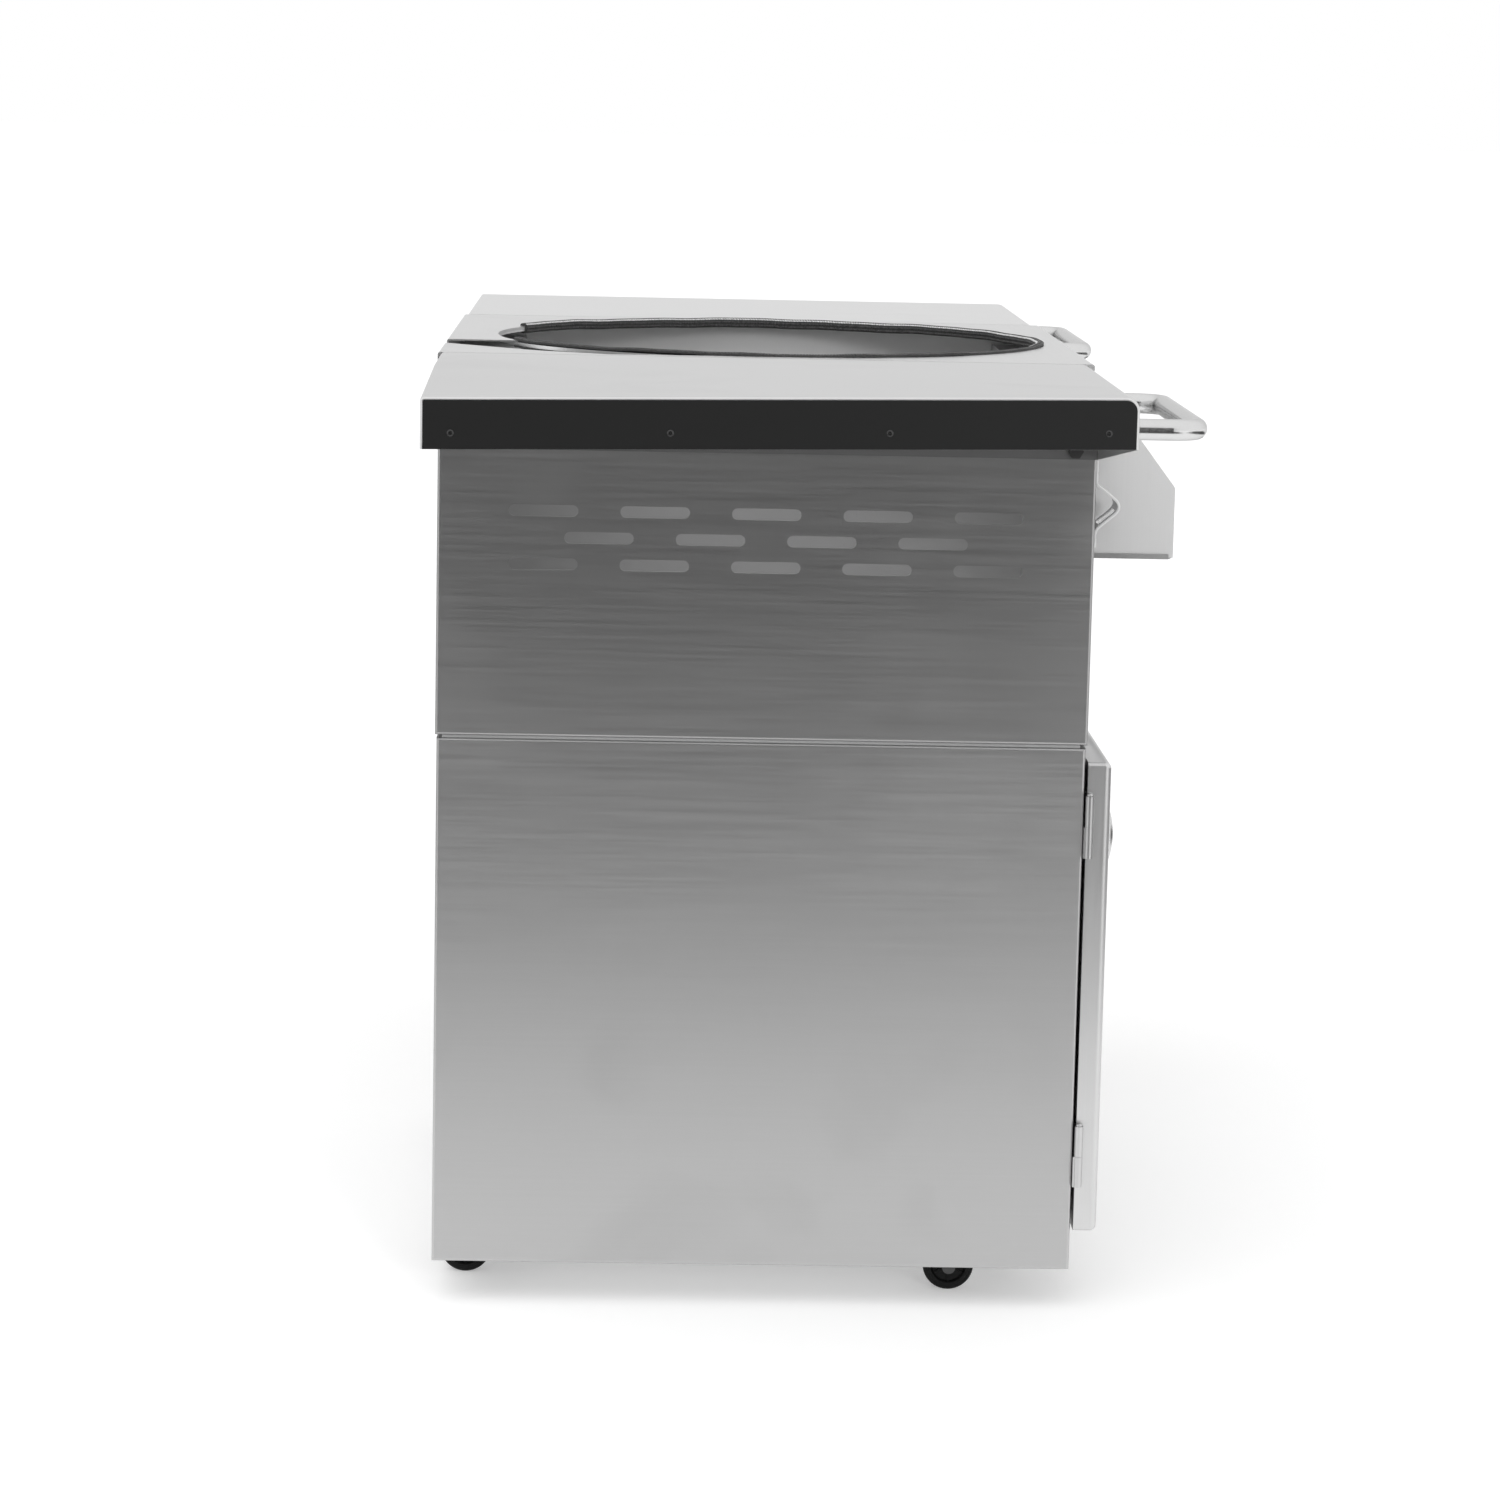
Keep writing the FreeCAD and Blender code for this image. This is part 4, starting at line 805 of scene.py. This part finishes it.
def braided_trim():
    """The channel turned round the opening, with its stitches on it."""
    start = math.pi / 2 + trim_gap_angle
    sweep = math.tau - 2 * trim_gap_angle
    outline = (
        (trim_outer, grip_half_height), (trim_outer, 0.0038), (0.2800, 0.0047),
        (0.2775, trim_half_height), (0.2752, 0.0048), (0.2738, 0.0039), (trim_inner, 0.0022),
        (trim_inner, -0.0022),
        (0.2738, -0.0039), (0.2752, -0.0048), (0.2775, -trim_half_height), (0.2800, -0.0047),
        (trim_outer, -0.0038), (trim_outer, -grip_half_height), (trim_grip, -grip_half_height),
        (trim_grip, grip_half_height))
    outwards = Vector((math.cos(start), math.sin(start), 0))
    core = bmesh.new()
    points = [trim_middle + outwards * out + Vector((0, 0, up)) for out, up in outline]
    ring_profile(core, points, core_steps, (0, 0, 1), trim_middle, sweep)
    ends = [edge for edge in core.edges if edge.is_boundary]
    bmesh.ops.holes_fill(core, edges=ends, sides=len(points))
    bmesh.ops.recalc_face_normals(core, faces=core.faces)
    stray(core)
    piece = add_piece("opening_trim_core", core, core_material, "table", 60.0)
    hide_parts("opening_edge_trim")

    stitch_row("opening_trim_braid", dark_rows, braid_material, start, sweep)
    stitch_row("opening_trim_painted_glints", glint_rows, glint_wire_material, start, sweep)


def stitch_row(name, rows, material, start, sweep):
    """Rows of stitches round the opening, made from one stitch each by doubling."""
    yarn = bmesh.new()
    pitch = sweep / 2 ** stitch_doublings
    outwards = Vector((math.cos(start), math.sin(start), 0))
    for out, up, tilt, lean in rows:
        stitch = bmesh.ops.create_uvsphere(yarn, u_segments=6, v_segments=4, radius=1.0)["verts"]
        bmesh.ops.scale(yarn, verts=stitch, vec=stitch_half)
        for angle, axis in (
                (lean * stitch_lean, "X"), (math.radians(tilt), "Y"), (start + pitch / 2, "Z")):
            bmesh.ops.rotate(yarn, verts=stitch, matrix=Matrix.Rotation(angle, 3, axis))
        spot = Matrix.Rotation(pitch / 2, 3, "Z") @ outwards
        bmesh.ops.translate(yarn, verts=stitch, vec=trim_middle + spot * out + Vector((0, 0, up)))
    for doubling in range(stitch_doublings):
        everything = yarn.verts[:] + yarn.edges[:] + yarn.faces[:]
        twin = bmesh.ops.duplicate(yarn, geom=everything)["geom"]
        moved = [item for item in twin if isinstance(item, bmesh.types.BMVert)]
        bmesh.ops.rotate(
            yarn, verts=moved, cent=trim_middle,
            matrix=Matrix.Rotation(pitch * 2 ** doubling, 3, "Z"))
    stray(yarn)
    piece = add_piece(name, yarn, material, "table", 60.0)
    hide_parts("opening_edge_trim")


braided_trim()


# Casters: pressed forks and plates painted black, and moulded black wheels on steel axles.
# The magnet blocks inside the door frame are moulded in the same black.
caster_material = plain_material(
    "black_caster", 0.006, 0.50, 0.0, 500.0, 0.7, 1.3, shine=0.22)
finish_with(
    caster_material, "door_catches", "caster_plates", "front_left_caster_fork",
    "front_right_caster_fork", "rear_left_caster_fork", "rear_right_caster_fork")

wheel_half = 0.0100
wheel_bore = 0.00405
wheel_radius = 0.0250
wheel_profile = (
    (wheel_half, 0.0086), (0.0096, 0.0092), (0.0070, 0.0094), (0.0070, 0.0158),
    (0.0088, 0.0166), (0.0098, 0.0176), (0.0098, 0.0200), (0.0092, 0.0206), (0.0092, 0.0212),
    (0.0088, 0.0230), (0.0076, 0.0244), (0.0060, wheel_radius), (0.0022, wheel_radius),
    (0.0018, 0.0246))
wheel_steps = 56
rib_count = 6
rib_size = Vector((0.0022, 0.0014, 0.0068))
rib_side = 0.0080
rib_out = 0.0126


def caster_wheel(name, node):
    """A moulded wheel: grooved tread, raised side rings and six ribs in each dished face."""
    centre = box_middle(node)
    shape = bmesh.new()
    right = [Vector((wheel_half, 0, wheel_bore))]
    right += [Vector((across, 0, out)) for across, out in wheel_profile]
    left = [Vector((-point.x, 0, point.z)) for point in reversed(right)]
    outline = [centre + point for point in right + left]
    ring_profile(shape, outline, wheel_steps, (1, 0, 0), centre)
    for side in (-1, 1):
        rib = bmesh.ops.create_cube(shape, size=1.0)["verts"]
        bmesh.ops.scale(shape, verts=rib, vec=rib_size)
        bmesh.ops.translate(shape, verts=rib, vec=centre + Vector((side * rib_side, 0, rib_out)))
        unit = rib + list({edge for vertex in rib for edge in vertex.link_edges})
        unit += list({face for vertex in rib for face in vertex.link_faces})
        bmesh.ops.spin(
            shape, geom=unit, cent=centre, axis=(1, 0, 0),
            angle=math.tau * (rib_count - 1) / rib_count, steps=rib_count - 1, use_duplicate=True)
    bmesh.ops.recalc_face_normals(shape, faces=shape.faces)
    body = node.replace("_caster_wheel", "_wheel")
    piece = add_piece(name, shape, caster_material, body)
    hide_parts(node)


for corner in ("front_left", "front_right", "rear_left", "rear_right"):
    caster_wheel(corner + "_tyre", corner + "_caster_wheel")
